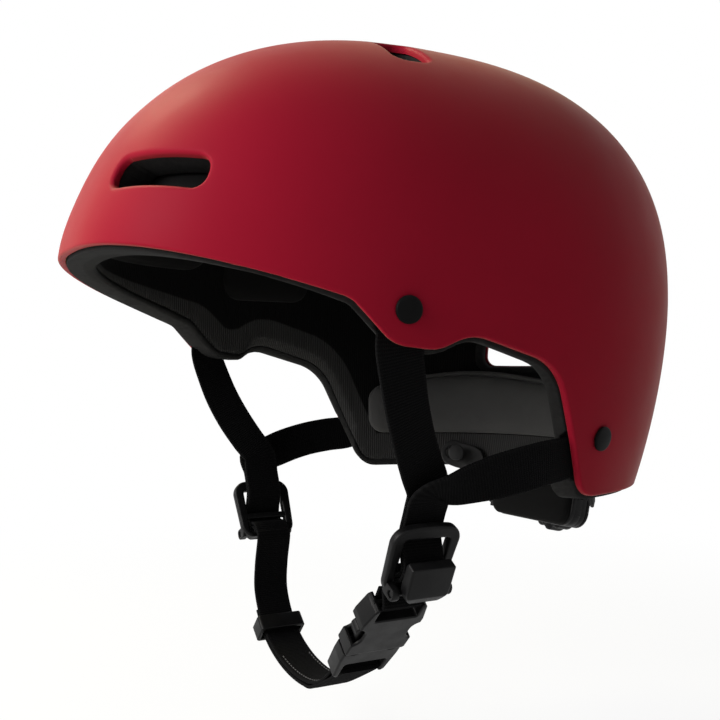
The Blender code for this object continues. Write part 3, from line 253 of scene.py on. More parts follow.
def grid(u, v):
    """Parameter pairs over every u and v, and two triangles for each cell."""
    pairs = np.stack(np.meshgrid(u, v, indexing="xy"), axis=-1).reshape(-1, 2)
    wide = len(u)
    corner = (np.arange(len(v) - 1)[:, None] * wide + np.arange(wide - 1)[None, :]).ravel()
    lower = np.stack([corner, corner + 1, corner + wide + 1], axis=1)
    upper = np.stack([corner, corner + wide + 1, corner + wide], axis=1)
    return pairs, np.concatenate([lower, upper])


def score(pairs, triangles, field, level):
    """Split each triangle that crosses field = level, with the new points on that line."""
    value = field(pairs) - level
    value = np.where(np.abs(value) < ON_LINE, 0.0, value)
    above = value > 0
    crossed = above[triangles].any(axis=1) & (value[triangles] < 0).any(axis=1)
    if not crossed.any():
        return pairs, triangles
    split = triangles[crossed]
    lone_above = above[split].sum(axis=1) == 1
    alone = np.where(lone_above[:, None], above[split], ~above[split])
    first = np.argmax(alone, axis=1)
    a, b, c = (split[np.arange(len(split)), (first + k) % 3] for k in range(3))
    ends = np.sort(np.concatenate([np.stack([a, b], 1), np.stack([a, c], 1)]), axis=1)
    edges, index = np.unique(ends, axis=0, return_inverse=True)
    index = index.reshape(-1)
    span = value[edges[:, 1]] - value[edges[:, 0]]
    along = np.where(np.abs(span) > 1e-12, -value[edges[:, 0]] / np.where(span == 0, 1, span), 0.5)
    along = np.clip(along, 0.0, 1.0)[:, None]
    fresh = pairs[edges[:, 0]] * (1 - along) + pairs[edges[:, 1]] * along
    ab = len(pairs) + index[: len(a)]
    ac = len(pairs) + index[len(a):]
    pieces = [np.stack([a, ab, ac], 1), np.stack([ab, b, c], 1), np.stack([ab, c, ac], 1)]
    return np.concatenate([pairs, fresh]), np.concatenate([triangles[~crossed], *pieces])


def trim(pairs, triangles, field, beside):
    """Keep the part where the field is positive, scored along the distances given beside its edge."""
    for level in (0.0, *beside):
        pairs, triangles = score(pairs, triangles, field, level)
    middle = pairs[triangles].mean(axis=1)
    triangles = triangles[field(middle) > 0]
    used, index = np.unique(triangles, return_inverse=True)
    return pairs[used], index.reshape(-1, 3)


def rolled(distance, radius):
    """How far a face has dropped at a distance from its edge, for a quarter round of that radius."""
    inside = np.clip(radius - distance, 0.0, radius)
    return radius - np.sqrt(np.maximum(radius**2 - inside**2, 0.0))


print("grid tools ready")


# %% Sewing two sides into a body
def same_rows(rows, step):
    """For rows that agree to within a step: the first row of each group, and the group of each row."""
    key = np.round(rows / step).astype(np.int64)
    _, first, index = np.unique(key, axis=0, return_index=True, return_inverse=True)
    return first, index.reshape(-1)


def sewn(front, back_side, triangles):
    """Points and triangles of the closed body between two sides that share their triangles."""
    first, index = same_rows(np.concatenate([front, back_side], axis=1), WELD)
    triangles = index[triangles]
    front, back_side = front[first], back_side[first]
    triangles = triangles[(triangles != np.roll(triangles, 1, axis=1)).all(axis=1)]
    ends = np.concatenate([triangles[:, [0, 1]], triangles[:, [1, 2]], triangles[:, [2, 0]]])
    size = len(front)
    forward = ends[:, 0] * size + ends[:, 1]
    edge = ends[~np.isin(forward, ends[:, 1] * size + ends[:, 0])]
    a, b = edge[:, 0], edge[:, 1]
    sides = np.concatenate([np.stack([b, a, a + size], 1), np.stack([b, a + size, b + size], 1)])
    faces = np.concatenate([triangles, triangles[:, ::-1] + size, sides])
    return np.concatenate([front, back_side]), faces, first


def outward(points, faces):
    """Faces turned so that the body's signed volume is positive."""
    a, b, c = (points[faces[:, k]] for k in range(3))
    volume = np.einsum("ij,ij->i", a, np.cross(b, c)).sum()
    return faces if volume > 0 else faces[:, ::-1]


def put_mesh(name, points, faces, finish, uv=None, sharp=40.0):
    """A smooth-shaded object at the origin from points and triangles, with a UV pair for each point."""
    mesh = bpy.data.meshes.new(name)
    mesh.vertices.add(len(points))
    mesh.vertices.foreach_set("co", np.ascontiguousarray(points, np.float32).ravel())
    mesh.loops.add(3 * len(faces))
    mesh.loops.foreach_set("vertex_index", np.ascontiguousarray(faces, np.int32).ravel())
    mesh.polygons.add(len(faces))
    mesh.polygons.foreach_set("loop_start", np.arange(0, 3 * len(faces), 3, dtype=np.int32))
    mesh.polygons.foreach_set("loop_total", np.full(len(faces), 3, np.int32))
    if uv is not None:
        layer = mesh.uv_layers.new(name="surface")
        layer.data.foreach_set("uv", np.ascontiguousarray(uv[faces.ravel()], np.float32).ravel())
    mesh.update(calc_edges=True)
    mesh.validate()
    mesh.shade_smooth()
    mesh.set_sharp_from_angle(angle=math.radians(sharp))
    mesh.materials.append(finish)
    piece = bpy.data.objects.new(name, mesh)
    bpy.context.scene.collection.objects.link(piece)
    return piece


def skin(name, pairs, triangles, front, back_side, finish, sharp):
    """A closed piece from its two sides, with the grid's own parameters as its UV map."""
    points, faces, first = sewn(front, back_side, triangles)
    uv = np.concatenate([pairs[first], pairs[first]])
    return put_mesh(name, points, outward(points, faces), finish, uv, sharp)


def dressed(piece, body, slot, *nodes):
    """Ride on a body and stand for CAD nodes, which are hidden. The slot argument is not used."""
    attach(piece, body)
    if nodes:
        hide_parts(*nodes)
    return piece


print("skin tools ready")

# %% [markdown]
# ## Finishes
# The shell is bare matte plastic with a very fine moulded grain. The liner is closed-cell foam, the pads
# are knitted cloth, the straps are ribbed polyester webbing and the small parts are satin mouldings. Flat
# colours would look like toys, so each finish takes its grain, weave or scuffs from procedural noise in
# the object's own metres.


# %% Shell and liner finishes
def new_finish(name, roughness, specular, **settings):
    """A named material with its Principled shader joined up; each finish then adds its own nodes."""
    made = bpy.data.materials.new(name)
    tree = NodeTree(made)
    shader = tree.add("BsdfPrincipled", Roughness=roughness, Specular_IOR_Level=specular, **settings)
    tree.add("OutputMaterial", shader.outputs[0])
    return made, tree, shader.inputs


def bumped(tree, sockets, height, strength, depth):
    """Tilt the shader's normals by a height."""
    bump = tree.add("Bump", Strength=strength, Distance=depth, Height=height)
    tree.feed(bump.outputs[0], sockets["Normal"])


def shell_finish():
    """Matte red plastic: a slow drift of tone, a grain of a third of a millimetre and a warm sheen."""
    made, tree, sockets = new_finish("matte_red_shell", 0.46, 0.025, Sheen_Weight=0.11, Sheen_Roughness=0.4,
                                     Sheen_Tint=(0.95, 0.85, 0.45, 1.0))
    where = tree.object_place()
    drift = tree.spread(tree.noise(where, 14.0, 2.0))
    tree.feed(tree.colour(drift, (0.248, 0.0055, 0.0195), (0.272, 0.0064, 0.0220)), sockets["Base Color"])
    tree.feed(tree.spread(tree.noise(where, 60.0), 0.43, 0.50), sockets["Roughness"])
    bumped(tree, sockets, tree.noise(where, 2600.0, 2.0), 0.22, 0.06 * MM)
    return made


def foam_finish():
    """Closed-cell foam: dark grey, dull, with open skin cells."""
    made, tree, sockets = new_finish("grey_foam", 0.9, 0.08)
    where = tree.object_place()
    tone = tree.spread(tree.noise(where, 400.0))
    tree.feed(tree.colour(tone, (0.0120, 0.0120, 0.0123), (0.0185, 0.0185, 0.0189)), sockets["Base Color"])
    bumped(tree, sockets, tree.cells(where, 1500.0), 0.35, 0.12 * MM)
    return made


RIB_PITCH = 0.0115  # radians of longitude
# How far in from the edge the grey ribs show, as (y, depth) under the brow and beside the ears; deeper in,
# the lining is painted black as shade.
PAINTED_SHADE_FRONT, PAINTED_SHADE_BACK = (-110.0 * MM, 5.5 * MM), (-20.0 * MM, 17.0 * MM)
PAINTED_SHADE_FADE = 0.9 * MM


def lining_finish():
    """The foam's cloth face: grey upright ribs near the edge; deeper in, the colour is painted black as the
    shade inside the helmet. The ribs follow the longitude on the UV map, in radians. The grey band is narrow
    under the brow and wider beside the ears."""
    made, tree, sockets = new_finish("ribbed_lining_painted_shade", 0.9, 0.12)
    ribs = tree.wave(tree.surface_axes()[0], RIB_PITCH)
    y = tree.add("SeparateXYZ", tree.object_place()).outputs[1]
    band = tree.ramp(y, PAINTED_SHADE_FRONT[0], PAINTED_SHADE_BACK[0], PAINTED_SHADE_FRONT[1], PAINTED_SHADE_BACK[1])
    depth = tree.add("Attribute", attribute_name="edge_depth").outputs["Fac"]
    # Painted shade: past the band the grey gives way to black.
    clear_of_painted_shade = tree.ramp(tree.math("SUBTRACT", depth, band), PAINTED_SHADE_FADE, 0.0)
    grey = tree.math("MULTIPLY", tree.ramp(ribs, -1.0, 1.0, 0.5, 1.0), clear_of_painted_shade)
    tree.feed(tree.colour(grey, (0.0016, 0.0016, 0.0017), (0.0360, 0.0360, 0.0366)), sockets["Base Color"])
    bumped(tree, sockets, ribs, 0.6, 0.2 * MM)
    return made


SHELL_FINISH = shell_finish()
FOAM_FINISH = foam_finish()
LINING_FINISH = lining_finish()
print("finishes", SHELL_FINISH.name, FOAM_FINISH.name, LINING_FINISH.name)

# %% [markdown]
# ## The dome
# At every height the shell's outline is the same rounded oval, a superellipse, drawn smaller towards the
# crown by a side profile that is a superellipse too. A deeper layer, such as the foam, is the same oval
# with its half sizes reduced by the depth. The brow stands a few millimetres forward of the plain dome.

# %% Dome formula
SHELL_LENGTH = 269.0 * MM
SHELL_WIDTH = 214.0 * MM
CROWN_HEIGHT = 109.0 * MM
SKIRT_REACH = 221.6 * MM
SKIRT_UNIT = 100.0 * MM
PLAN_POWER, CROWN_POWER, SKIRT_POWER = 2.5, 2.41, 1.7
BROW_FLARE, BROW_FLARE_START, BROW_FLARE_SPREAD = 4.0 * MM, 60.0 * MM, 24.0 * MM
BROW_Z, BROW_SLOPE, TEMPLE_Y = 14.6 * MM, 0.307, -65.4 * MM
SKIRT_Z = -82.0 * MM
SHELL_WALL, SEAT_GAP, LINER_WALL = 3.0 * MM, 0.3 * MM, 11.0 * MM
LINER_INSET = SHELL_WALL + SEAT_GAP
PAD_INSET = LINER_INSET + LINER_WALL + 0.9 * MM
SLOPE_STEP = 1e-4


def unit(vectors):
    """Vectors at unit length."""
    return vectors / np.linalg.norm(vectors, axis=-1, keepdims=True)


def oval(share, power):
    """A superellipse: where one half size's share is given, the other's is (1 - share^power)^(1 / power)."""
    return np.maximum(0, 1 - np.minimum(1, share) ** power) ** (1 / power)


def profile_share(z, inset):
    """The side profile: the share of the plan oval's reach that is left at height z."""
    upper = oval(np.abs(z) / (CROWN_HEIGHT - inset), CROWN_POWER)
    return np.where(z > 0, upper, oval(np.abs(z) / SKIRT_REACH, SKIRT_POWER))


def dome_at(longitude, z, inset):
    """Dome points: the plan oval's reach at a longitude, times the side profile's share at height z."""
    across = np.abs(np.sin(longitude)) / (0.5 * SHELL_WIDTH - inset)
    ahead = np.abs(np.cos(longitude)) / (0.5 * SHELL_LENGTH - inset)
    reach = (across**PLAN_POWER + ahead**PLAN_POWER) ** (-1 / PLAN_POWER)
    reach = reach * profile_share(z, inset)
    y = -reach * np.cos(longitude)
    fore = np.clip((-y - BROW_FLARE_START) / (0.5 * SHELL_LENGTH - BROW_FLARE_START), 0, 1)
    flare = BROW_FLARE * fore**2 * np.exp(-(((z - BROW_Z) / BROW_FLARE_SPREAD) ** 2))
    return np.stack([reach * np.sin(longitude), y - flare, z + 0 * longitude], axis=-1)


def dome_layer(pairs, inset):
    """Dome points for (longitude, fall): fall 0 is the crown, 1 the widest level, and beyond it the skirt."""
    longitude, fall = pairs[:, 0], pairs[:, 1]
    lift = np.sin(0.5 * np.pi * (1 - np.clip(fall, 0, 1))) ** (2 / CROWN_POWER)
    z = np.where(fall < 1, (CROWN_HEIGHT - inset) * lift, (1 - fall) * SKIRT_UNIT)
    return dome_at(longitude, z, inset)


def dome_normals(longitude, z, inset=0.0):
    """Directions out of the dome: the cross product of its slopes round and up."""
    around = dome_at(longitude + SLOPE_STEP, z, inset) - dome_at(longitude - SLOPE_STEP, z, inset)
    upward = dome_at(longitude, z + SLOPE_STEP, inset) - dome_at(longitude, z - SLOPE_STEP, inset)
    return unit(np.cross(around, upward))


print("brow point", np.round(dome_at(np.array([0.0]), np.array([BROW_Z]), 0.0), 4).tolist())

# %% [markdown]
# ## Rim and vents as distance fields
# Seen from the side, the rim is one line: the rising brow, a lobe at the temple, the arch over the ear
# and the straight skirt behind. The distance to that line, and to each vent's rounded slot, tells how far
# any point of the dome is from an edge. The smallest of them trims the shell and rolls its edges in.


# %% Rim line
def rounded_line(corners, steps=15):
    """Straight runs joined by arcs, from (y, z, radius) corners."""
    points = [np.array(corners[0][:2])]
    for k in range(1, len(corners) - 1):
        here = np.array(corners[k][:2])
        radius = corners[k][2]
        to_last = unit(np.array(corners[k - 1][:2]) - here)
        to_next = unit(np.array(corners[k + 1][:2]) - here)
        half = 0.5 * math.acos(float(to_last @ to_next))
        middle = here + unit(to_last + to_next) * radius / math.sin(half)
        start = here + to_last * radius / math.tan(half) - middle
        end = here + to_next * radius / math.tan(half) - middle
        swing = math.atan2(start[0] * end[1] - start[1] * end[0], float(start @ end))
        angle = np.linspace(0, swing, steps)[:, None]
        quarter_turned = np.array([-start[1], start[0]])
        points.extend(middle + (np.cos(angle) * start + np.sin(angle) * quarter_turned))
    points.append(np.array(corners[-1][:2]))
    return np.array(points)


FRONT_Y = -0.5 * SHELL_LENGTH
RIM_LINE = rounded_line([
    (2 * FRONT_Y, BROW_Z - BROW_SLOPE * FRONT_Y, 0),
    (TEMPLE_Y, BROW_Z - BROW_SLOPE * (TEMPLE_Y - FRONT_Y), 10 * MM),
    (-50.0 * MM, -22.5 * MM, 14 * MM),
    (-33.0 * MM, -24.3 * MM, 14 * MM),
    (-19.0 * MM, -18.3 * MM, 20 * MM),
    (21.2 * MM, -29.4 * MM, 24 * MM),
    (43.5 * MM, SKIRT_Z, 13 * MM),
    (SHELL_LENGTH, SKIRT_Z, 0),
])


def line_distance(points, line):
    """Distance from (y, z) points to an open line, positive above it."""
    best = np.full(len(points), np.inf)
    above = np.zeros(len(points))
    for start, step in zip(line[:-1], np.diff(line, axis=0)):
        offset = points - start
        along = np.clip(offset @ step / (step @ step), 0, 1)
        apart = offset - along[:, None] * step
        gap = np.hypot(apart[:, 0], apart[:, 1])
        nearer = gap < best
        best = np.where(nearer, gap, best)
        above = np.where(nearer, step[0] * offset[:, 1] - step[1] * offset[:, 0], above)
    return np.where(above >= 0, best, -best)


print("rim line points", len(RIM_LINE))

# %% Vent slots
VENTS = [
    {"lon": 24.0, "z": 40.2 * MM, "length": 47.0 * MM, "width": 12.5 * MM, "turn": -6.0},
    {"lon": 70.0, "z": 96.3 * MM, "length": 32.0 * MM, "width": 15.0 * MM, "turn": 90.0},
    {"lon": 160.0, "z": -21.2 * MM, "length": 46.0 * MM, "width": 14.5 * MM, "turn": 0.0},
]
VENT_CORNER = 5.5 * MM
FAR_SIDE, FAR_AWAY = -40.0 * MM, 1.0


def slot_distance(points, vent, side, margin):
    """Distance outside a vent's rounded slot, measured in the plane that touches the shell at its middle."""
    longitude = np.array([math.radians(vent["lon"]) * side])
    z = np.array([vent["z"]])
    middle = dome_at(longitude, z, 0.0)[0]
    out_of = dome_normals(longitude, z)[0]
    level = unit(np.cross([0.0, 0.0, 1.0], out_of))
    rise = np.cross(out_of, level)
    angle = math.radians(vent["turn"] * side)
    along = level * math.cos(angle) + rise * math.sin(angle)
    up = rise * math.cos(angle) - level * math.sin(angle)
    offset = points - middle
    x = np.abs(offset @ along) - 0.5 * vent["length"] - margin + VENT_CORNER
    y = np.abs(offset @ up) - 0.5 * vent["width"] - margin + VENT_CORNER
    flat = np.hypot(np.maximum(x, 0), np.maximum(y, 0)) + np.minimum(np.maximum(x, y), 0) - VENT_CORNER
    return np.where(offset @ out_of < FAR_SIDE, FAR_AWAY, flat)


def vents_distance(points, margin):
    """Distance to the nearest of the six vents."""
    gaps = [slot_distance(points, vent, side, margin) for vent in VENTS for side in (1, -1)]
    return np.min(gaps, axis=0)


print("vents", 2 * len(VENTS))

# %% [markdown]
# ## The shell
# The moulded shell is about three millimetres thick. Its lower edge is a small round, and each vent's lip
# is a larger roll that turns in towards the foam. Both come from the same rule: near an edge, the outer
# side sinks by a quarter round of the distance to it.

# %% Shell piece
LIP_ROLL, RIM_ROLL, INNER_ROLL = 1.9 * MM, 0.9 * MM, 0.7 * MM
THINNEST_LIP = 0.5 * MM
ROLL_STEPS = (0.03, 0.13, 0.29, 0.5, 0.75, 1.0)


def rim_field(pairs):
    """Distance above the rim line."""
    return line_distance(dome_layer(pairs, 0.0)[:, 1:], RIM_LINE)


def shell_field(pairs):
    """Distance to the nearest edge of the shell, positive on the shell."""
    return np.minimum(rim_field(pairs), vents_distance(dome_layer(pairs, 0.0), 0.0))


def dome_grid(around, above, below, lowest):
    """A grid over the whole dome, from the crown to a fall below the rim."""
    falls = np.concatenate([np.linspace(0.0, 1.0, above)[:-1], np.linspace(1.0, lowest, below)])
    return grid(np.linspace(-np.pi, np.pi, around), falls)


pairs, triangles = dome_grid(241, 74, 48, 1.84)
scores = [share * LIP_ROLL for share in ROLL_STEPS] + [0.5 * RIM_ROLL]
pairs, triangles = trim(pairs, triangles, shell_field, scores)
rim_gap = np.maximum(rim_field(pairs), 0)
vent_gap = np.maximum(vents_distance(dome_layer(pairs, 0.0), 0.0), 0)
outer = np.maximum(rolled(rim_gap, RIM_ROLL), rolled(vent_gap, LIP_ROLL))
inner = np.maximum(SHELL_WALL - rolled(rim_gap, INNER_ROLL), outer + THINNEST_LIP)
shell = skin("shell", pairs, triangles, dome_layer(pairs, outer), dome_layer(pairs, inner),
             SHELL_FINISH, 60.0)
dressed(shell, "helmet", "shell", "outer_shell")
print("shell triangles", len(shell.data.polygons))

# %% [markdown]
# ## The foam liner
# The foam is a thick layer that fills the shell and ends a little below its edge, so a flat grey band
# shows all round. Its inside is faced with ribbed cloth that starts at a fine groove, a few millimetres
# in from the edge. Behind each strap the foam is hollowed, because the strap's end lies between the shell
# and the foam. Beside the ears it is thinner.

# %% Liner fields
LINER_PROUD, TEMPLE_PROUD, TEMPLE_SPREAD = 1.5 * MM, 1.6 * MM, 14.0 * MM
VENT_MARGIN = 0.6 * MM
FRONT_ANCHOR, REAR_ANCHOR = (-45.1 * MM, -10.4 * MM), (49.3 * MM, -58.2 * MM)
ANCHORS = {"front": FRONT_ANCHOR, "rear": REAR_ANCHOR}
REAR_RUN = (-0.890, -0.456)
HOLLOW_HALF, HOLLOW_LONG, HOLLOW_SOFT, HOLLOW_DEPTH = 11.0 * MM, 34.0 * MM, 1.2 * MM, 2.9 * MM
WALL_X = 60.0 * MM
EAR_RELIEF_DEPTH, EAR_RELIEF_LENGTH = 5.5 * MM, 8.0 * MM
EAR_RELIEF_START_Y, EAR_RELIEF_END_Z, EAR_RELIEF_FADE = -36.0 * MM, -74.0 * MM, 12.0 * MM


def liner_rim(points):
    """Distance inside the foam's edge: the rim line moved down, and forwards too along the temple."""
    ahead = TEMPLE_PROUD * np.exp(-(((points[:, 1] - TEMPLE_Y) / TEMPLE_SPREAD) ** 2))
    moved = points[:, 1:] + np.stack([ahead, LINER_PROUD + 0 * ahead], axis=1)
    return line_distance(moved, RIM_LINE)


def liner_field(pairs):
    """Distance to the nearest edge of the foam, positive on the foam."""
    points = dome_layer(pairs, 0.0)
    return np.minimum(liner_rim(points), vents_distance(points, VENT_MARGIN))


def strap_hollow(points):
    """How much of the hollow's depth is reached: 1 behind a strap and 0 elsewhere, with a soft edge."""
    share = np.zeros(len(points))
    for anchor, run in ((FRONT_ANCHOR, (0.0, -1.0)), (REAR_ANCHOR, REAR_RUN)):
        offset = points[:, 1:] - np.array(anchor)
        along = offset @ np.array(run)
        off = np.abs(offset @ np.array([-run[1], run[0]]))
        inside = np.minimum(np.minimum(HOLLOW_HALF - off, along + HOLLOW_HALF), HOLLOW_LONG - along)
        share = np.maximum(share, np.clip(inside / HOLLOW_SOFT, 0, 1))
    return share * (np.abs(points[:, 0]) > WALL_X)


def ear_relief(pairs, edge):
    """How much thinner the foam is beside the ear opening: most at the edge, nothing 8 mm away from it."""
    points = dome_layer(pairs, 0.0)
    fade = np.minimum(points[:, 1] - EAR_RELIEF_START_Y, points[:, 2] - EAR_RELIEF_END_Z) / EAR_RELIEF_FADE
    deepest = EAR_RELIEF_DEPTH * np.clip(fade, 0, 1)
    return np.maximum(deepest - edge * EAR_RELIEF_DEPTH / EAR_RELIEF_LENGTH, 0)


print("liner fields ready")

# %% Liner piece
FOAM_ROLL, FOAM_OUTER_ROLL = 1.6 * MM, 0.5 * MM
GROOVE_AT, GROOVE_WIDE, GROOVE_DEEP = 3.2 * MM, 0.45 * MM, 0.8 * MM
pairs, triangles = dome_grid(201, 60, 40, 1.86)
scores = np.array([0.1, 0.5, 1.0, 1.6, 2.6, 3.2, 3.8, 8.0]) * MM
pairs, triangles = trim(pairs, triangles, liner_field, scores)
edge = np.maximum(liner_field(pairs), 0)
hollow = HOLLOW_DEPTH * strap_hollow(dome_layer(pairs, 0.0))
foam_outside = LINER_INSET + rolled(edge, FOAM_OUTER_ROLL) + hollow
groove = GROOVE_DEEP * np.exp(-(((edge - GROOVE_AT) / GROOVE_WIDE) ** 2))
foam_inside = LINER_INSET + LINER_WALL - rolled(edge, FOAM_ROLL) - groove - ear_relief(pairs, edge)
liner = skin("foam_liner_skin", pairs, triangles, dome_layer(pairs, foam_outside),
             dome_layer(pairs, foam_inside), FOAM_FINISH, 50.0)
liner.data.materials.append(LINING_FINISH)
count = len(liner.data.polygons)
corners = np.empty(3 * count, np.int32)
liner.data.loops.foreach_get("vertex_index", corners)
uv = np.empty(6 * count, np.float32)
liner.data.uv_layers["surface"].data.foreach_get("uv", uv)
uv = uv.reshape(-1, 2).astype(float)
edge_depth = liner.data.attributes.new("edge_depth", "FLOAT", "CORNER")
edge_depth.data.foreach_set("value", liner_rim(dome_layer(uv, 0.0)).astype(np.float32))
on_inside = (corners.reshape(-1, 3) >= len(liner.data.vertices) // 2).all(axis=1)
past_groove = liner_field(uv).reshape(-1, 3).min(axis=1) > GROOVE_AT - 0.1 * MM
liner.data.polygons.foreach_set("material_index", (on_inside & past_groove).astype(np.int32))
dressed(liner, "helmet", "foam", "foam_liner")
print("liner triangles", count)

# %% [markdown]
# ## Webbing, mouldings and cloth
# The webbing's ribs and yarns follow the strap's own length and width, so they bend with it. The
# mouldings share one grain, and differ in tone and gloss. The knitted cloth has small loops and a sheen.

# %% Webbing finish
WEBBING_WIDTH, WEBBING_THICKNESS = 18.0 * MM, 1.6 * MM
WEAVE_RIB, WEAVE_YARN, YARN_SHARE = 1.1 * MM, 0.8 * MM, 0.45
# Across the strap from its middle: where the painted edge highlight starts and where it is full.
EDGE_HIGHLIGHT_START, EDGE_HIGHLIGHT_END = 7.2 * MM, 8.6 * MM


def webbing_finish():
    """Ribbed webbing: ribs across it and yarns along it, in the strap's own UV metres, and a painted
    highlight that makes its edges paler.
    """
    made, tree, sockets = new_finish("black_webbing", 0.85, 0.04)
    across, along = tree.surface_axes()[:2]
    weave = tree.math("MULTIPLY_ADD", tree.wave(across, WEAVE_YARN), YARN_SHARE, tree.wave(along, WEAVE_RIB))
    # Painted highlight: the colour is paler along each edge of the strap.
    edge = tree.ramp(tree.math("ABSOLUTE", across), EDGE_HIGHLIGHT_START, EDGE_HIGHLIGHT_END)
    tone = tree.math("MULTIPLY_ADD", edge, 0.4, tree.ramp(weave, -1.3, 1.3, 0.0, 0.6))
    tree.feed(tree.colour(tone, (0.0012, 0.0012, 0.0014), (0.0060, 0.0060, 0.0064)), sockets["Base Color"])
    bumped(tree, sockets, weave, 0.7, 0.12 * MM)
    return made


print("webbing", WEBBING_WIDTH, "m wide")


# %% Moulding, cloth, thread and steel finishes
def moulding_finish(name, dark, light, roughness, gloss):
    """Satin moulded plastic with a fine spark-eroded grain and a few rubbed patches."""
    made, tree, sockets = new_finish(name, roughness, gloss)
    where = tree.object_place()
    tree.feed(tree.colour(tree.spread(tree.noise(where, 220.0)), dark, light), sockets["Base Color"])
    patches = tree.spread(tree.noise(where, 130.0), roughness - 0.06, roughness + 0.06)
    tree.feed(patches, sockets["Roughness"])
    bumped(tree, sockets, tree.noise(where, 3800.0, 2.0), 0.2, 0.05 * MM)
    return made


def cloth_finish(name, dark, light, pitch, sheen):
    """Knitted cloth: small loops one pitch apart, with a slow change of tone and a sheen."""
    made, tree, sockets = new_finish(name, 0.92, 0.08, Sheen_Weight=sheen, Sheen_Roughness=0.5)
    where = tree.object_place()
    loops = tree.cells(where, 1 / pitch, 0.5)
    tone = tree.math("MULTIPLY_ADD", loops, 0.6, tree.noise(where, 90.0))
    tree.feed(tree.colour(tone, dark, light), sockets["Base Color"])
    bumped(tree, sockets, loops, 0.35, 0.12 * MM)
    return made


def speckled_finish(name, dark, light, roughness, specular, scale, detail, metallic):
    """A plain finish whose tone changes with fine noise: sewing thread or bright steel."""
    made, tree, sockets = new_finish(name, roughness, specular, Metallic=metallic)
    tone = tree.noise(tree.object_place(), scale, detail)
    tree.feed(tree.colour(tone, dark, light), sockets["Base Color"])
    return made


WEBBING_FINISH = webbing_finish()
MOULDING_FINISH = moulding_finish(
    "satin_black_moulding", (0.0030, 0.0030, 0.0032), (0.0050, 0.0050, 0.0053), 0.42, 0.11)
RIVET_FINISH = moulding_finish("black_rivet", (0.0024, 0.0024, 0.0026), (0.0040, 0.0040, 0.0042), 0.5, 0.05)
BAND_FINISH = moulding_finish("grey_fit_band", (0.012, 0.012, 0.0125), (0.018, 0.018, 0.0185), 0.5, 0.15)
PAD_FINISH = cloth_finish(
    "black_pad_cloth", (0.0020, 0.0020, 0.0021), (0.0038, 0.0038, 0.0040), 0.6 * MM, 0.03)
GREY_PAD_FINISH = cloth_finish(
    "grey_pad_cloth", (0.042, 0.042, 0.0428), (0.052, 0.052, 0.0529), 0.5 * MM, 0.12)
THREAD_FINISH = speckled_finish(
    "grey_thread", (0.05, 0.05, 0.052), (0.09, 0.09, 0.092), 0.7, 0.3, 2500.0, 1.0, 0.0)
STEEL_FINISH = speckled_finish(
    "bright_steel", (0.42, 0.42, 0.43), (0.58, 0.58, 0.59), 0.35, 0.5, 900.0, 2.0, 1.0)
print("small finishes ready")

# %% [markdown]
# ## The straps
# Each strap is flat webbing, eighteen millimetres wide. It starts between the shell and the foam, under a
# rivet, hangs to the divider, weaves behind the divider's top bar, over its crossbar and out at the
# bottom. A smooth curve through the route's points carries a cross-section with full round edges and a
# shallow groove inside each edge.

# %% Curves and frames
STEPS = 7


def curve_through(points, steps=STEPS):
    """A Catmull-Rom curve: each span blends its two ends and their neighbours' slopes."""
    points = np.asarray(points, float)
    padded = np.concatenate([[2 * points[0] - points[1]], points, [2 * points[-1] - points[-2]]])
    a, b, c, d = (padded[k : len(padded) - 3 + k, None] for k in range(4))
    t = (np.arange(steps) / steps)[None, :, None]
    spans = 0.5 * (2 * b + (c - a) * t + (2 * a - 5 * b + 4 * c - d) * t**2 + (3 * b - a - 3 * c + d) * t**3)
    return np.concatenate([spans.reshape(-1, points.shape[1]), points[-1:]])


def runs_of(path):
    """The direction of travel at each point of a path."""
    after = np.concatenate([path[1:], path[-1:]])
    before = np.concatenate([path[:1], path[:-1]])
    return unit(after - before)


def lengths_along(path):
    """The length of a path up to each of its points."""
    return np.concatenate([[0], np.cumsum(np.linalg.norm(np.diff(path, axis=0), axis=1))])


def sampled(at, length, values):
    """Values along a path, such as its points or width directions, read at given lengths."""
    return np.stack([np.interp(at, length, values[:, k]) for k in range(3)], axis=1)


def square_to(run, vectors):
    """Unit vectors with their part along the direction of travel taken out."""
    return unit(vectors - run * np.sum(vectors * run, axis=1, keepdims=True))


def wall_point(y, z, inset, side):
    """The point of the dome's left or right wall at that y and z: the plan oval solved for x."""
    y, z = np.asarray(y, float), np.asarray(z, float)
    scale = profile_share(z, inset)
    ahead = np.abs(y) / (scale * (0.5 * SHELL_LENGTH - inset))
    x = scale * (0.5 * SHELL_WIDTH - inset) * oval(ahead, PLAN_POWER)
    return np.stack([side * x, y + 0 * x, z + 0 * x], axis=-1)


def wall_normal(y, z, side):
    """The direction out of the dome's left or right wall."""
    around = wall_point(y + SLOPE_STEP, z, 0.0, side) - wall_point(y - SLOPE_STEP, z, 0.0, side)
    upward = wall_point(y, z + SLOPE_STEP, 0.0, side) - wall_point(y, z - SLOPE_STEP, 0.0, side)
    return unit(np.cross(around, upward) * side)


def placed_frame(origin, across, along):
    """A 3 by 4 frame from an origin and its local x and y directions."""
    x = unit(np.array(across, float))
    y = unit(np.array(along, float) - x * (x @ np.array(along, float)))
    return np.stack([x, y, np.cross(x, y), np.array(origin, float)], axis=1)


def place(frame_here, local):
    """Local points in the helmet's own axes."""
    return np.asarray(local, float) @ frame_here[:, :3].T + frame_here[:, 3]


def moved_frame(frame_here, local):
    """The same frame with its origin at one of its own points."""
    return np.concatenate([frame_here[:, :3], place(frame_here, local)[:, None]], axis=1)


def leaning_frame(origin, lean, side):
    """A frame whose y leans outwards from straight up and whose z faces outwards."""
    angle = math.radians(lean)
    start = (side * origin[0], origin[1], origin[2])
    return placed_frame(start, (0, side, 0), (side * math.sin(angle), 0, math.cos(angle)))


WHOLE_FRAME = np.eye(3, 4)
print("curve and frame tools ready")

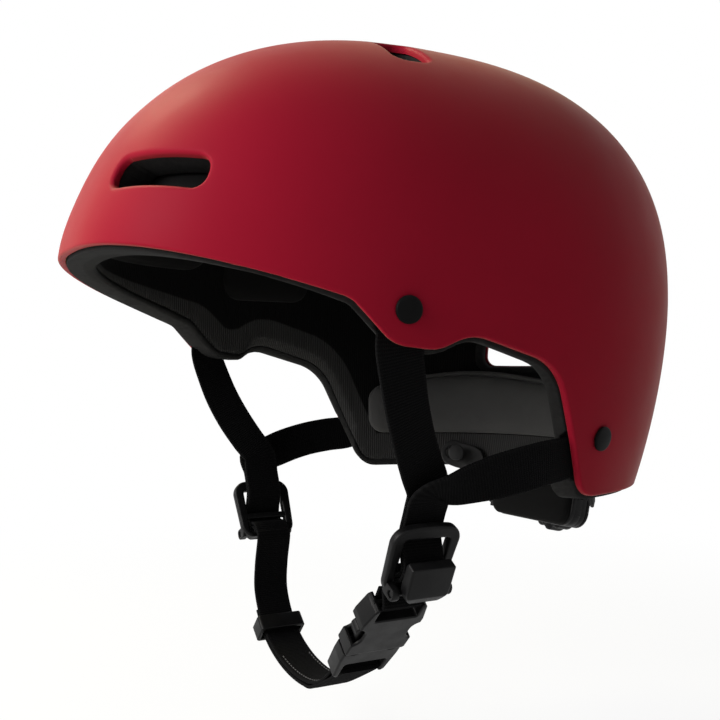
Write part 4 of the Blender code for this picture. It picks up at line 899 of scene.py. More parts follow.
# %% Places of the divider and the buckle
STRAP_INSET, STRAP_TOP, LAYER_STEP = 4.7 * MM, 8.5 * MM, 2.1 * MM
DIVIDER_AT, DIVIDER_LEAN = (75.0 * MM, -22.5 * MM, -103.0 * MM), 27.0
DIVIDER_WIDE, DIVIDER_TALL, DIVIDER_THICK = 30.5 * MM, 28.5 * MM, 4.0 * MM
CROSSBAR_LOW, CROSSBAR_HIGH, CROSSBAR_TOP = -5.0 * MM, -2.0 * MM, 0.6 * MM
BUCKLE_LEAN, BUCKLE_BAR_AT = 45.0, (59.0 * MM, -22.5 * MM, -122.0 * MM)
FEMALE_LENGTH, BAR_RADIUS, MALE_LENGTH = 34.0 * MM, 1.3 * MM, 17.5 * MM
FEMALE_BAR_Y, MALE_BAR_Y = FEMALE_LENGTH - BAR_RADIUS, -MALE_LENGTH + BAR_RADIUS
BAR_REACH = 1.42 * BAR_RADIUS + SEAT_GAP + 0.5 * WEBBING_THICKNESS
CHIN = np.array([
    (-65.5, -22.5, -129.0), (-66.0, -22.5, -142.0), (-59.0, -22.5, -154.5), (-47.0, -22.5, -164.0),
    (-30.0, -22.5, -170.0), (-11.0, -22.5, -171.6), (5.0, -22.5, -168.5)]) * MM
DIVIDER_FRAMES = {side: leaning_frame(DIVIDER_AT, DIVIDER_LEAN, side) for side in (1, -1)}
BUCKLE_FRAME = moved_frame(leaning_frame(BUCKLE_BAR_AT, BUCKLE_LEAN, 1), (0, -FEMALE_LENGTH + BAR_RADIUS, 0))
print("buckle frame at", np.round(BUCKLE_FRAME[:, 3], 4).tolist())


# %% Routes
def weave_route(side, layer):
    """A strap's way through a divider; layer 1 lies over layer -1."""
    clear = 0.5 * DIVIDER_THICK + WEBBING_THICKNESS + 2.5 * SEAT_GAP
    over = CROSSBAR_TOP + WEBBING_THICKNESS + 2.5 * SEAT_GAP
    top, low, high = 0.5 * DIVIDER_TALL, CROSSBAR_LOW, CROSSBAR_HIGH
    middle = np.array([
        (top + 13.0 * MM, -clear - 0.6 * MM), (top + 5.0 * MM, -clear - 0.6 * MM),
        (top - 3.0 * MM, -clear), (top - 6.8 * MM, -clear + 1.0 * MM),
        (high + 5.2 * MM, 0.2 * MM), (high + 1.6 * MM, over - 0.2 * MM),
        (0.5 * (low + high), over + 0.2 * MM), (low - 1.0 * MM, over - 0.8 * MM),
        (low - 3.0 * MM, -0.8 * MM), (low - 4.6 * MM, -clear + 0.6 * MM),
        (-top + 1.6 * MM, -clear - 0.4 * MM), (-top - 2.4 * MM, -clear - 0.6 * MM),
    ])
    run = runs_of(middle)
    apart = layer * 0.5 * (WEBBING_THICKNESS + SEAT_GAP) * np.where(np.arange(len(middle)) == 0, 2.4, 1.0)
    moved = middle + apart[:, None] * np.stack([run[:, 1], -run[:, 0]], axis=1)
    return place(DIVIDER_FRAMES[side], np.concatenate([np.zeros((len(moved), 1)), moved], axis=1))


def hanging_route(hidden, woven, bow):
    """From the rim down to the divider, with a slight bow."""
    t = np.array([0.2, 0.42, 0.64, 0.84])[:, None]
    return hidden[-1] + (woven[0] - hidden[-1]) * t + np.array(bow) * np.sin(np.pi * t)


def front_route(side):
    """Straight down from the front rivet and through the divider, under the rear strap."""
    y, z = FRONT_ANCHOR
    down = np.array([STRAP_TOP, 0.5 * STRAP_TOP, 0, -7.0 * MM, -13.5 * MM])
    hidden = wall_point(y + 0 * down, z + down, STRAP_INSET, side)
    woven = weave_route(side, -1)
    return hidden, hanging_route(hidden, woven, (side * 2.0 * MM, -3.0 * MM, 0)), woven


def rear_route(side):
    """Forwards and down from the rear rivet and through the divider, over the front strap."""
    y, z = REAR_ANCHOR
    out = np.array([-STRAP_TOP, -0.5 * STRAP_TOP, 0, 8.0 * MM, 16.0 * MM])
    hidden = wall_point(y + REAR_RUN[0] * out, z + REAR_RUN[1] * out, STRAP_INSET, side)
    woven = weave_route(side, 1)[:-1]
    return hidden, hanging_route(hidden, woven, (side * 6.0 * MM, 1.0 * MM, 2.0 * MM)), woven


def bar_turn(bar_y, reach, first_side, steps=8):
    """A half turn round a buckle bar, from one face of the buckle to the other."""
    angle = np.linspace(0, np.pi, steps + 1)
    height = first_side * np.cos(angle) * abs(reach)
    return place(BUCKLE_FRAME, np.stack([0 * angle, bar_y + reach * np.sin(angle), height], axis=1))


def left_tail():
    """From the left divider round the female half's bar and up to the sewn end."""
    start = place(BUCKLE_FRAME, [(0, FEMALE_BAR_Y + 2.2 * MM, BAR_REACH + 0.1 * MM)])
    end = place(BUCKLE_FRAME, [(0, FEMALE_BAR_Y + 4.6 * MM, -BAR_REACH - 1.0 * MM)])
    return np.concatenate([start, bar_turn(FEMALE_BAR_Y, -BAR_REACH, 1), end])


def right_tail():
    """Along the chin, round the male half's bar, and the free end back through the keeper."""
    entry = place(BUCKLE_FRAME, [(0, MALE_BAR_Y - 6.0 * MM, -BAR_REACH + 0.8 * MM)])
    run = curve_through(CHIN, 3)
    ahead = runs_of(run)
    below = run + LAYER_STEP * np.stack([ahead[:, 2], 0 * ahead[:, 0], -ahead[:, 0]], axis=1)
    return np.concatenate([CHIN, entry, bar_turn(MALE_BAR_Y, BAR_REACH, -1), below[:4:-1][1::2]])


print("routes ready")


# %% Strap tools
def strap_widths(path, side, hidden, woven_from):
    """Width directions: flat on the shell's inside, then facing sideways, then level inside the divider."""
    k = np.arange(len(path))
    held = path[np.minimum(k, hidden)]
    share = np.clip((k - hidden) / (3 * STEPS), 0, 1)[:, None]
    out_of = wall_normal(held[:, 1], held[:, 2], side) * (1 - share) + np.array([side, 0, 0]) * share
    plain = unit(np.cross(out_of, runs_of(path))) * side
    level = np.array([0.0, 1.0, 0.0]) * (1 if plain[woven_from][1] > 0 else -1)
    start = woven_from - 4 * STEPS
    share = np.clip((k - start) / (woven_from - start), 0, 1)[:, None]
    wide = unit(plain * (1 - share) + level * share)
    wide[woven_from:] = wide[woven_from]
    return wide


def webbing_section(width, thickness, across=15, turned=7):
    """A strap's outline: two faces with a groove inside each edge, and full half rounds between them."""
    half, deep = 0.5 * width, 0.5 * thickness
    x = np.linspace(-(half - deep), half - deep, across)
    groove = 1 - 0.16 * np.exp(-(((np.abs(x) - 0.80 * half) / (0.05 * width)) ** 2))
    upper = np.stack([x, deep * groove], axis=1)
    angle = np.linspace(0.5 * np.pi, -0.5 * np.pi, turned + 2)[1:-1]
    right = np.stack([half - deep + deep * np.cos(angle), deep * np.sin(angle)], axis=1)
    return np.concatenate([upper, right, -upper, -right])


def tube_faces(rings, around, close):
    """Triangles between rings of points, with flat ends."""
    ring = np.arange(rings - 1)[:, None] * around
    here = np.arange(around)[None, :]
    after = (here + 1) % around
    a, b = (ring + here).ravel(), (ring + after).ravel()
    c, d = b + around, a + around
    faces = [np.stack([a, b, c], 1), np.stack([a, c, d], 1)]
    if close:
        fan = np.arange(1, around - 1)
        last = (rings - 1) * around
        faces.append(np.stack([0 * fan, fan + 1, fan], 1))
        faces.append(np.stack([last + 0 * fan, last + fan, last + fan + 1], 1))
    return np.concatenate(faces)


def strap_piece(name, path, wide):
    """Webbing carried along a path: its UV map is metres across it and along it."""
    section = webbing_section(WEBBING_WIDTH, WEBBING_THICKNESS)
    run = runs_of(path)
    wide = square_to(run, wide)
    face = np.cross(wide, run)
    points = path[:, None] + section[None, :, :1] * wide[:, None] + section[None, :, 1:] * face[:, None]
    points = points.reshape(-1, 3)
    metres = np.broadcast_arrays(section[None, :, 0], lengths_along(path)[:, None])
    uv = np.stack(metres, axis=-1).reshape(-1, 2)
    faces = outward(points, tube_faces(len(path), len(section), True))
    return put_mesh(name, points, faces, WEBBING_FINISH, uv, 50.0)


def stretched(piece):
    """Bake the piece's place into its points; it is left on no body."""
    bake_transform(piece)


print("strap tools ready")

# %% Strap pieces
STRAPS = {}
for word, side in SIDES:
    tails = {"rear": [], "front": [left_tail() if side > 0 else right_tail()]}
    for where, route in (("rear", rear_route(side)), ("front", front_route(side))):
        hidden, hanging, woven = route
        path = curve_through(np.concatenate([*route, *tails[where]]))
        wide = strap_widths(path, side, STEPS * (len(hidden) - 1), STEPS * (len(hidden) + len(hanging)))
        STRAPS[word, where] = (path, wide)
        strap = strap_piece(f"{word}_{where}_webbing", path, wide)
        if (word, where) == ("right", "front"):
            stretched(strap)
            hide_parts("right_front_strap")
        else:
            dressed(strap, "helmet", "webbing", f"{word}_{where}_strap")
        print(strap.name, "length", round(float(lengths_along(path)[-1]), 3), "m")

# %% [markdown]
# ## Moulded plates
# A divider, a buckle half or a keeper is a moulded plate: a flat outline with holes, and every edge
# rounded over. Its outline is a distance field in the plate's own plane, which is positive inside. A hole
# is taken out of a rounded box or a polygon by keeping the smaller value, and then the skin tools trim
# and roll the plate.


# %% Outline fields
def box_field(x0, x1, y0, y1, corner):
    """Distance inside a rounded rectangle."""
    def field(p):
        x = np.abs(p[:, 0] - 0.5 * (x0 + x1)) - 0.5 * (x1 - x0) + corner
        y = np.abs(p[:, 1] - 0.5 * (y0 + y1)) - 0.5 * (y1 - y0) + corner
        return corner - np.hypot(np.maximum(x, 0), np.maximum(y, 0)) - np.minimum(np.maximum(x, y), 0)
    return field


def middle_box(half_wide, half_tall, corner):
    """Distance inside a rounded rectangle about the origin."""
    return box_field(-half_wide, half_wide, -half_tall, half_tall, corner)


def disc_field(x, y, radius):
    """Distance inside a circle."""
    return lambda p: radius - np.hypot(p[:, 0] - x, p[:, 1] - y)


def polygon_field(corners):
    """Distance inside a polygon."""
    corners = np.asarray(corners, float)
    after = np.roll(corners, -1, axis=0)

    def field(p):
        best = np.full(len(p), np.inf)
        inside = np.zeros(len(p), bool)
        for a, b in zip(corners, after):
            step = b - a
            along = np.clip((p - a) @ step / (step @ step), 0, 1)
            apart = p - a - along[:, None] * step
            best = np.minimum(best, np.hypot(apart[:, 0], apart[:, 1]))
            crosses = (a[1] > p[:, 1]) != (b[1] > p[:, 1])
            rise = np.where(step[1] == 0, 1.0, step[1])
            inside ^= crosses & (p[:, 0] < a[0] + step[0] * (p[:, 1] - a[1]) / rise)
        return np.where(inside, best, -best)
    return field


def mirrored(side):
    """A closed outline from the points of its +x side and their mirror images."""
    return side + [(-x, y) for x, y in reversed(side)]


def cut_out(body, *holes):
    """A field with other fields taken out of it."""
    return lambda p: np.min([body(p)] + [-hole(p) for hole in holes], axis=0)


print("outline fields ready")

# %% Solid shapes
PLATE_SCORES = (0.05, 0.2, 0.5, 1.0)
BOX_WELD = 1e-7
X_IS_THICK, Y_IS_THICK = (2, 0, 1), (0, 2, 1)


def plate_body(field, bounds, step, low, high, roll):
    """A plate's points and triangles between two heights, each a number or a function of the plane."""
    x0, x1, y0, y1 = bounds
    across = np.linspace(x0, x1, max(4, int(round((x1 - x0) / step)) + 1))
    along = np.linspace(y0, y1, max(4, int(round((y1 - y0) / step)) + 1))
    pairs, triangles = grid(across, along)
    pairs, triangles = trim(pairs, triangles, field, [roll * share for share in PLATE_SCORES])
    drop = rolled(np.maximum(field(pairs), 0), roll)
    top = (high(pairs) if callable(high) else high + 0 * drop) - drop
    foot = (low(pairs) if callable(low) else low + 0 * drop) + drop
    front = np.concatenate([pairs, top[:, None]], axis=1)
    back_side = np.concatenate([pairs, foot[:, None]], axis=1)
    points, faces, _ = sewn(front, back_side, triangles)
    return points, outward(points, faces)


def round_box(low, high, radius, count=9):
    """A box with all its edges rounded: points of a finer box are drawn to the corners' spheres."""
    low, high = np.array(low, float), np.array(high, float)
    half, middle = 0.5 * (high - low), 0.5 * (high + low)
    s = np.sin(np.linspace(-0.5 * np.pi, 0.5 * np.pi, count))
    u, v = (w.ravel() for w in np.meshgrid(s, s, indexing="ij"))
    _, triangles = grid(s, s)
    points, faces = [], []
    for axis in range(3):
        for end in (1.0, -1.0):
            cube = np.empty((len(u), 3))
            cube[:, axis] = end
            cube[:, (axis + 1) % 3] = u
            cube[:, (axis + 2) % 3] = v
            faces.append((triangles[:, ::-1] if end > 0 else triangles) + len(points) * len(u))
            points.append(cube * half)
    flat = np.concatenate(points)
    core = np.clip(flat, -(half - radius), half - radius)
    off = flat - core
    size = np.linalg.norm(off, axis=1, keepdims=True)
    flat = core + radius * off / np.where(size > 0, size, 1)
    first, index = same_rows(flat, BOX_WELD)
    return flat[first] + middle, outward(flat[first], index[np.concatenate(faces)])


def turned_body(profile, around=48):
    """A body of revolution about the local z axis from (radius, z) pairs, closed on the axis at both ends."""
    profile = np.asarray(profile, float)
    angle = np.linspace(0, 2 * np.pi, around, endpoint=False)
    ring = np.stack([np.cos(angle), np.sin(angle)], axis=1)
    middle = profile[1:-1]
    heights = np.broadcast_to(middle[:, None, 1:], (len(middle), around, 1))
    flat = np.concatenate([middle[:, None, :1] * ring[None], heights], axis=2)
    points = np.concatenate([flat.reshape(-1, 3), [(0, 0, profile[0, 1]), (0, 0, profile[-1, 1])]])
    here = np.arange(around)
    after = (here + 1) % around
    last = (len(middle) - 1) * around
    start_cap = np.stack([after, here, 0 * here + len(points) - 2], 1)
    end_cap = np.stack([last + here, last + after, 0 * here + len(points) - 1], 1)
    faces = np.concatenate([tube_faces(len(middle), around, False), start_cap, end_cap])
    return points, outward(points, faces)


def rounded_profile(corners, steps=5):
    """A (radius, z) profile with each inner corner rounded by its third value."""
    flat = [corners[0][:2]]
    for k in range(1, len(corners) - 1):
        here, radius = np.array(corners[k][:2]), corners[k][2]
        if radius == 0:
            flat.append(tuple(here))
            continue
        start = here + unit(np.array(corners[k - 1][:2]) - here) * radius
        end = here + unit(np.array(corners[k + 1][:2]) - here) * radius
        t = np.linspace(0, 1, steps + 1)[:, None]
        flat.extend(map(tuple, start * (1 - t) ** 2 + 2 * here * t * (1 - t) + end * t**2))
    flat.append(corners[-1][:2])
    return np.array(flat)


def swapped(shape, order):
    """A shape with its axes renamed, such as a plate drawn in (y, z) and thick along x."""
    points, faces = shape
    points = points[:, list(order)]
    return points, outward(points - points.mean(axis=0), faces)


def round_bar(radius, half_long, edge):
    """A round bar along the local x axis, with a small round at each end."""
    profile = rounded_profile([(0, -half_long, 0), (radius, -half_long, edge), (radius, half_long, edge),
                               (0, half_long, 0)])
    return swapped(turned_body(profile, 24), X_IS_THICK)


def moulded(name, shapes, frame_here, finish, sharp=38.0):
    """One piece from several closed shapes, each given as points and triangles in a local frame."""
    points, faces, count = [], [], 0
    for shape_points, shape_faces in shapes:
        points.append(place(frame_here, shape_points))
        faces.append(shape_faces + count)
        count += len(shape_points)
    return put_mesh(name, np.concatenate(points), np.concatenate(faces), finish, None, sharp)


print("plate tools ready")

# %% [markdown]
# ## Dividers and their flaps
# A divider is a frame with a window for the two straps, a crossbar below it and a slot at the bottom. A
# flap turns on a pin between two lugs, and its nose presses the straps against the crossbar. The frame is
# a little arched at the top and narrower at the foot, and the flap's lower end is round.

# %% Divider and flap shapes
STRAP_GAP = WEBBING_WIDTH + 2.0 * MM
DIVIDER_CORNER, DIVIDER_ARCH, DIVIDER_TAPER = 6.0 * MM, 1.6 * MM, 0.10
TOP_BAR, FOOT_BAR = 4.0 * MM, 2.8 * MM
PIN_Y, PIN_Z, PIN_RADIUS, PIN_HOLE = -10.5 * MM, 5.6 * MM, 1.2 * MM, 1.45 * MM
LUG_INSIDE, LUG_OUTSIDE, LUG_REACH = 0.5 * STRAP_GAP + 0.2 * MM, 13.4 * MM, PIN_RADIUS + 1.4 * MM
FLAP_HALF = 0.5 * STRAP_GAP - 0.3 * MM
FLAP_LOW = CROSSBAR_TOP + 2 * WEBBING_THICKNESS + 6 * SEAT_GAP - PIN_Z
FLAP_HIGH, FLAP_NOSE = FLAP_LOW + 5.4 * MM, 12.8 * MM
FLAP_FOOT, FLAP_ROUND_WIDE, FLAP_ROUND_TALL = -3.4 * MM, 6.0 * MM, 8.5 * MM


def arched(field):
    """A field drawn narrower towards the foot and bowed up at the top."""
    def moved(p):
        bow = 1 - np.clip(p[:, 0] / (0.5 * DIVIDER_WIDE), -1, 1) ** 2
        y = p[:, 1] - DIVIDER_ARCH * bow * np.clip(p[:, 1] / (0.3 * DIVIDER_TALL), 0, 1)
        x = p[:, 0] / (1 - DIVIDER_TAPER * (0.5 - y / DIVIDER_TALL))
        return field(np.stack([x, y], axis=1))
    return moved


def divider_shapes():
    """The frame with its window and slot, the crossbar, and a lug for each end of the flap's pin."""
    half_wide, half_tall, half_thick = 0.5 * DIVIDER_WIDE, 0.5 * DIVIDER_TALL, 0.5 * DIVIDER_THICK
    half_gap = 0.5 * STRAP_GAP
    window = box_field(-half_gap, half_gap, CROSSBAR_LOW, half_tall - TOP_BAR, 1.4 * MM)
    slot = box_field(-half_gap, half_gap, -half_tall + FOOT_BAR, CROSSBAR_LOW + 2 * MM, 1.0 * MM)
    outside = cut_out(arched(middle_box(half_wide, half_tall, DIVIDER_CORNER)), window, slot)
    crossbar = box_field(-half_gap - 2 * MM, half_gap + 2 * MM, CROSSBAR_LOW, CROSSBAR_HIGH, 0.8 * MM)
    bounds = (-half_wide - MM, half_wide + MM, -half_tall - MM, half_tall + 3 * MM)
    shapes = [plate_body(outside, bounds, 0.7 * MM, -half_thick, half_thick, 1.1 * MM),
              plate_body(crossbar, bounds, 0.7 * MM, -half_thick + 0.2 * MM, CROSSBAR_TOP, 0.7 * MM)]
    lug = cut_out(box_field(PIN_Y - LUG_REACH, PIN_Y + LUG_REACH, 0, PIN_Z + LUG_REACH, 2.2 * MM),
                  disc_field(PIN_Y, PIN_Z, PIN_HOLE))
    bounds = (PIN_Y - 4 * MM, PIN_Y + 4 * MM, -MM, PIN_Z + 4 * MM)
    for low, high in ((LUG_INSIDE, LUG_OUTSIDE), (-LUG_OUTSIDE, -LUG_INSIDE)):
        shapes.append(swapped(plate_body(lug, bounds, 0.5 * MM, low, high, 0.5 * MM), X_IS_THICK))
    return shapes


def flap_half(p):
    """Half the flap's width: full at the nose, drawn in along a quarter ellipse towards its lower end."""
    below = 1 - np.clip((p[:, 0] - FLAP_FOOT) / FLAP_ROUND_TALL, 0, 1)
    return FLAP_HALF - FLAP_ROUND_WIDE * (1 - np.sqrt(1 - below**2))


def flap_shapes():
    """The flap, drawn from the side about its pin, and the pin."""
    low, high, nose = FLAP_LOW, FLAP_HIGH, FLAP_NOSE
    view = [(-2.2 * MM, -2.0 * MM), (1.6 * MM, low), (nose, low), (nose + 1.8 * MM, low + 1.2 * MM),
            (nose + 1.2 * MM, high), (1.0 * MM, high + 0.4 * MM), (-2.0 * MM, high - 1.0 * MM),
            (-3.0 * MM, 0.4 * MM)]
    bounds = (-5 * MM, nose + 4 * MM, low - 3 * MM, high + 3 * MM)
    flap = plate_body(polygon_field(view), bounds, 0.5 * MM, lambda p: -flap_half(p), flap_half, 1.0 * MM)
    return [swapped(flap, X_IS_THICK), round_bar(PIN_RADIUS, LUG_OUTSIDE - 0.6 * MM, 0.3 * MM)]


print("divider and flap shapes ready")

# %% Divider and flap pieces
for word, side in SIDES:
    divider = moulded(f"{word}_divider_frame", divider_shapes(), DIVIDER_FRAMES[side], MOULDING_FINISH)
    dressed(divider, "helmet", "moulding", f"{word}_divider")
    pin_frame = moved_frame(DIVIDER_FRAMES[side], (0, PIN_Y, PIN_Z))
    flap = moulded(f"{word}_cam_flap", flap_shapes(), pin_frame, MOULDING_FINISH)
    dressed(flap, f"{word}_flap", "moulding", f"{word}_divider_flap")
print("dividers and flaps")

# %% [markdown]
# ## The side-release buckle
# The female half is a flat sleeve with a window in each side and a bar that the left strap loops round.
# The male half has a guide blade and two prongs whose buttons show in the windows. Squeezing the buttons
# lets the male half slide out. The sleeve is two broad plates with walls between them, so that it is
# really hollow.

# %% Buckle shapes
BUCKLE_HALF, BUCKLE_DEEP, MOUTH = 14.0 * MM, 4.9 * MM, 2.0 * MM
WINDOW_LOW, WINDOW_HIGH, CAVITY_END = 9.5 * MM, 21.0 * MM, 22.5 * MM
MALE_DEEP, BLADE_DEEP, BLADE_HALF = 4.0 * MM, 2.9 * MM, 2.1 * MM
HALF_LOOP = 0.5 * (WEBBING_WIDTH + 1.6 * MM)
PRONG_X, PRONG_Y, PRONG_SEAT = 8.8 * MM, 3.0 * MM, 2.3 * MM
PRONG_HALF, PRONG_END = 1.3 * MM, 16.5 * MM
BUCKLE_STEP = 0.6 * MM


def loop_bar(bar_y):
    """The round bar that a strap loops round."""
    points, faces = round_bar(BAR_RADIUS, HALF_LOOP + 1.5 * MM, 0.2 * MM)
    return points + np.array([0, bar_y, 0]), faces


def sleeve_shapes():
    """Two broad plates with walls between them, a window bitten into each side, and the strap's bar."""
    half, shoulder = BUCKLE_HALF, BUCKLE_HALF - 2.0 * MM
    side = [(half - 0.8 * MM, MOUTH), (half, MOUTH + 1.0 * MM), (half, WINDOW_HIGH + 3.0 * MM),
            (shoulder, FEMALE_LENGTH - 1.2 * MM), (shoulder - 1.4 * MM, FEMALE_LENGTH)]
    near, far = half - 3.4 * MM, half + 6.6 * MM
    bites = [box_field(x0, x1, WINDOW_LOW, WINDOW_HIGH, 4.2 * MM) for x0, x1 in ((near, far), (-far, -near))]
    slot_low = FEMALE_LENGTH - 2 * BAR_RADIUS - 5.2 * MM
    slot = box_field(-HALF_LOOP, HALF_LOOP, slot_low, FEMALE_LENGTH + 3 * MM, 1.0 * MM)
    face = cut_out(polygon_field(mirrored(side)), *bites, slot)
    wide, narrow = half - 1.4 * MM, half - 2.6 * MM
    hollow = polygon_field(mirrored([(narrow, MOUTH - 4 * MM), (narrow, MOUTH), (wide, WINDOW_LOW),
                                     (wide, CAVITY_END)]))
    inside = BLADE_DEEP + 0.4 * MM
    bounds = (-half - MM, half + MM, MOUTH - MM, FEMALE_LENGTH + MM)
    plates = [(face, inside, BUCKLE_DEEP, 0.75 * MM), (face, -BUCKLE_DEEP, -inside, 0.75 * MM),
              (cut_out(face, hollow), -inside - 0.9 * MM, inside + 0.9 * MM, 0.25 * MM)]
    shapes = [plate_body(field, bounds, BUCKLE_STEP, low, high, roll) for field, low, high, roll in plates]
    return shapes + [loop_bar(FEMALE_BAR_Y)]


def base_shapes():
    """The plug's body with a slot for the strap and seats for the prongs, the strap's bar and the blade."""
    half, top, end = BUCKLE_HALF, MOUTH - 0.4 * MM, -MALE_LENGTH
    side = [(half - 0.4 * MM, top), (half - 0.4 * MM, -4.0 * MM), (half - 1.6 * MM, end + 1.2 * MM),
            (half - 3.0 * MM, end)]
    slot = box_field(-HALF_LOOP, HALF_LOOP, end - 3 * MM, end + 2 * BAR_RADIUS + 7.4 * MM, 1.0 * MM)
    seats = [disc_field(where * PRONG_X, PRONG_Y, PRONG_SEAT) for where in (1, -1)]
    body = cut_out(polygon_field(mirrored(side)), slot, *seats)
    bounds = (-half - MM, half + MM, end - MM, top + MM)
    plate = plate_body(body, bounds, BUCKLE_STEP, -MALE_DEEP, MALE_DEEP, 0.9 * MM)
    start, stop = top - 2.0 * MM, CAVITY_END - 4.0 * MM
    blade = round_box((-BLADE_HALF, start, -BLADE_DEEP), (BLADE_HALF, stop, BLADE_DEEP), 0.7 * MM)
    return [plate, loop_bar(MALE_BAR_Y), blade]


def prong_shape(where):
    """One prong, drawn about its root: a narrow arm, a heel that rests in the window and a round button."""
    half, start, end = PRONG_HALF, WINDOW_LOW + 0.8 * MM - PRONG_Y, PRONG_END
    button, heel = BUCKLE_HALF - 0.4 * MM - PRONG_X, BUCKLE_HALF - 2.5 * MM - PRONG_X
    outline = np.array([
        (-half + 0.6 * MM, -1.2 * MM), (half - 0.6 * MM, -1.2 * MM),
        (half, 0.4 * MM), (half, start - 1.8 * MM),
        (heel - 0.4 * MM, start), (heel + 0.4 * MM, start + 1.3 * MM), (heel + 1.2 * MM, start + 2.9 * MM),
        (button - 0.35 * MM, end - 4.5 * MM), (button, end - 3.0 * MM), (button - 0.4 * MM, end - 1.7 * MM),
        (button - 1.2 * MM, end - 0.8 * MM), (half - 0.6 * MM, end),
        (-half, end - 1.0 * MM), (-half, 0.4 * MM),
    ])
    curve = curve_through(np.concatenate([outline, outline[:1]]), 3)[:-1]
    bounds = (-8 * MM, 8 * MM, -3 * MM, end + 2 * MM)
    field = polygon_field(curve * np.array([where, 1.0]))
    return plate_body(field, bounds, 0.45 * MM, -BLADE_DEEP, BLADE_DEEP, 0.6 * MM)


print("buckle shapes ready")

# %% Buckle pieces
female = moulded("buckle_sleeve", sleeve_shapes(), BUCKLE_FRAME, MOULDING_FINISH)
dressed(female, "helmet", "moulding", "buckle_female")
male = moulded("buckle_base", base_shapes(), BUCKLE_FRAME, MOULDING_FINISH)
dressed(male, "buckle_plug", "moulding", "buckle_male")
for word, where in (("front", -1), ("rear", 1)):
    prong_frame = moved_frame(BUCKLE_FRAME, (where * PRONG_X, PRONG_Y, 0))
    prong = moulded(f"{word}_spring_prong", [prong_shape(where)], prong_frame, MOULDING_FINISH)
    dressed(prong, f"{word}_prong", "moulding", f"buckle_{word}_prong")
print("buckle pieces")

# %% [markdown]
# ## The strap keeper
# The keeper is a small moulded ring. The chin strap and its free end lie in it one over the other, so the
# end doesn't flap about.

# %% Keeper piece
KEEPER_STOP = 7
KEEPER_HALF_WIDE = 0.5 * (WEBBING_WIDTH + 1.6 * MM)
KEEPER_HALF_DEEP = 0.5 * (LAYER_STEP + WEBBING_THICKNESS + 3.2 * MM)
KEEPER_WALL, KEEPER_HALF_LONG = 1.9 * MM, 4.0 * MM

chin_curve = curve_through(CHIN, 3)
run = runs_of(chin_curve)[KEEPER_STOP]
between_layers = chin_curve[KEEPER_STOP] + 0.5 * LAYER_STEP * np.array([run[2], 0.0, -run[0]])
keeper_frame = placed_frame(between_layers, (0, 1, 0), run)
outside = middle_box(KEEPER_HALF_WIDE + KEEPER_WALL, KEEPER_HALF_DEEP + KEEPER_WALL, 1.6 * MM)
hollow = middle_box(KEEPER_HALF_WIDE, KEEPER_HALF_DEEP, 0.5 * MM)
reach = KEEPER_HALF_WIDE + KEEPER_WALL + MM
bounds = (-reach, reach, -6.5 * MM, 6.5 * MM)
ring = plate_body(cut_out(outside, hollow), bounds, 0.5 * MM, -KEEPER_HALF_LONG, KEEPER_HALF_LONG, 0.6 * MM)
keeper = moulded("keeper_ring", [swapped(ring, Y_IS_THICK)], keeper_frame, MOULDING_FINISH)
dressed(keeper, "keeper", "moulding", "strap_keeper")
print("keeper at", np.round(keeper_frame[:, 3], 4).tolist())

# %% [markdown]
# ## Stitches
# The chin strap's two layers are sewn together near their edges. A stitch could be a dotted line in the
# material, but a real one stands up from the webbing, so each is a small rounded bar laid along the
# strap.

# %% Chin stitches
STITCH_STEP, STITCH_LONG, STITCH_RADIUS = 2.3 * MM, 1.6 * MM, 0.28 * MM
STITCH_OFF, STITCHES_START, STITCHES_END = 6.9 * MM, 74.0 * MM, 9.0 * MM
CHIN_TOP = -140.0 * MM


def stitch_row(path, wide, first, last, off, face_side):
    """Rounded bars, one per step of length, at one offset across the strap and on one of its faces."""
    length = lengths_along(path)
    at = np.arange(length[first], length[last], STITCH_STEP)
    run = unit(sampled(at, length, runs_of(path)))
    across = square_to(run, sampled(at, length, wide))
    face = np.cross(across, run)
    corner = np.array([STITCH_RADIUS, 0.5 * STITCH_LONG, STITCH_RADIUS])
    bar_points, bar_faces = round_box(-corner, corner, 0.9 * STITCH_RADIUS, 3)
    middle = sampled(at, length, path) + off * across + face_side * 0.5 * WEBBING_THICKNESS * face
    points = middle[:, None] + np.einsum("pk,nkj->npj", bar_points, np.stack([across, run, face], axis=1))
    faces = bar_faces[None] + len(bar_points) * np.arange(len(at))[:, None, None]
    return points.reshape(-1, 3), faces.reshape(-1, 3)


path, wide = STRAPS["right", "front"]
bar_stop = int(np.argmax(np.where(path[:, 2] < CHIN_TOP, path[:, 0], -1)))
length = lengths_along(path)
first, last = np.searchsorted(length, length[bar_stop] - np.array([STITCHES_START, STITCHES_END]))
rows = [stitch_row(path, wide, first, last, off, face_side)
        for off in (-STITCH_OFF, STITCH_OFF) for face_side in (1, -1)]
stitches = moulded("chin_stitches", rows, WHOLE_FRAME, THREAD_FINISH)
stretched(stitches)
print("stitch points", sum(len(points) for points, _ in rows))

# %% [markdown]
# ## Rivets and anchor nuts
# Four rivets hold the straps. Each has a broad, slightly domed head with a small round at its edge, and
# its shank goes through the shell and the strap into a nut in the foam. The nuts are plain washers, so
# their CAD shapes stay, with a steel finish.

# %% Rivet pieces
HEAD_RADIUS, HEAD_TALL, HEAD_EDGE, HEAD_DOME = 5.0 * MM, 1.6 * MM, 0.62, 0.26
SHANK_RADIUS, NUT_THICK = 2.2 * MM, 1.8 * MM
SHANK_END = -(STRAP_INSET + 0.5 * WEBBING_THICKNESS + SEAT_GAP + NUT_THICK)


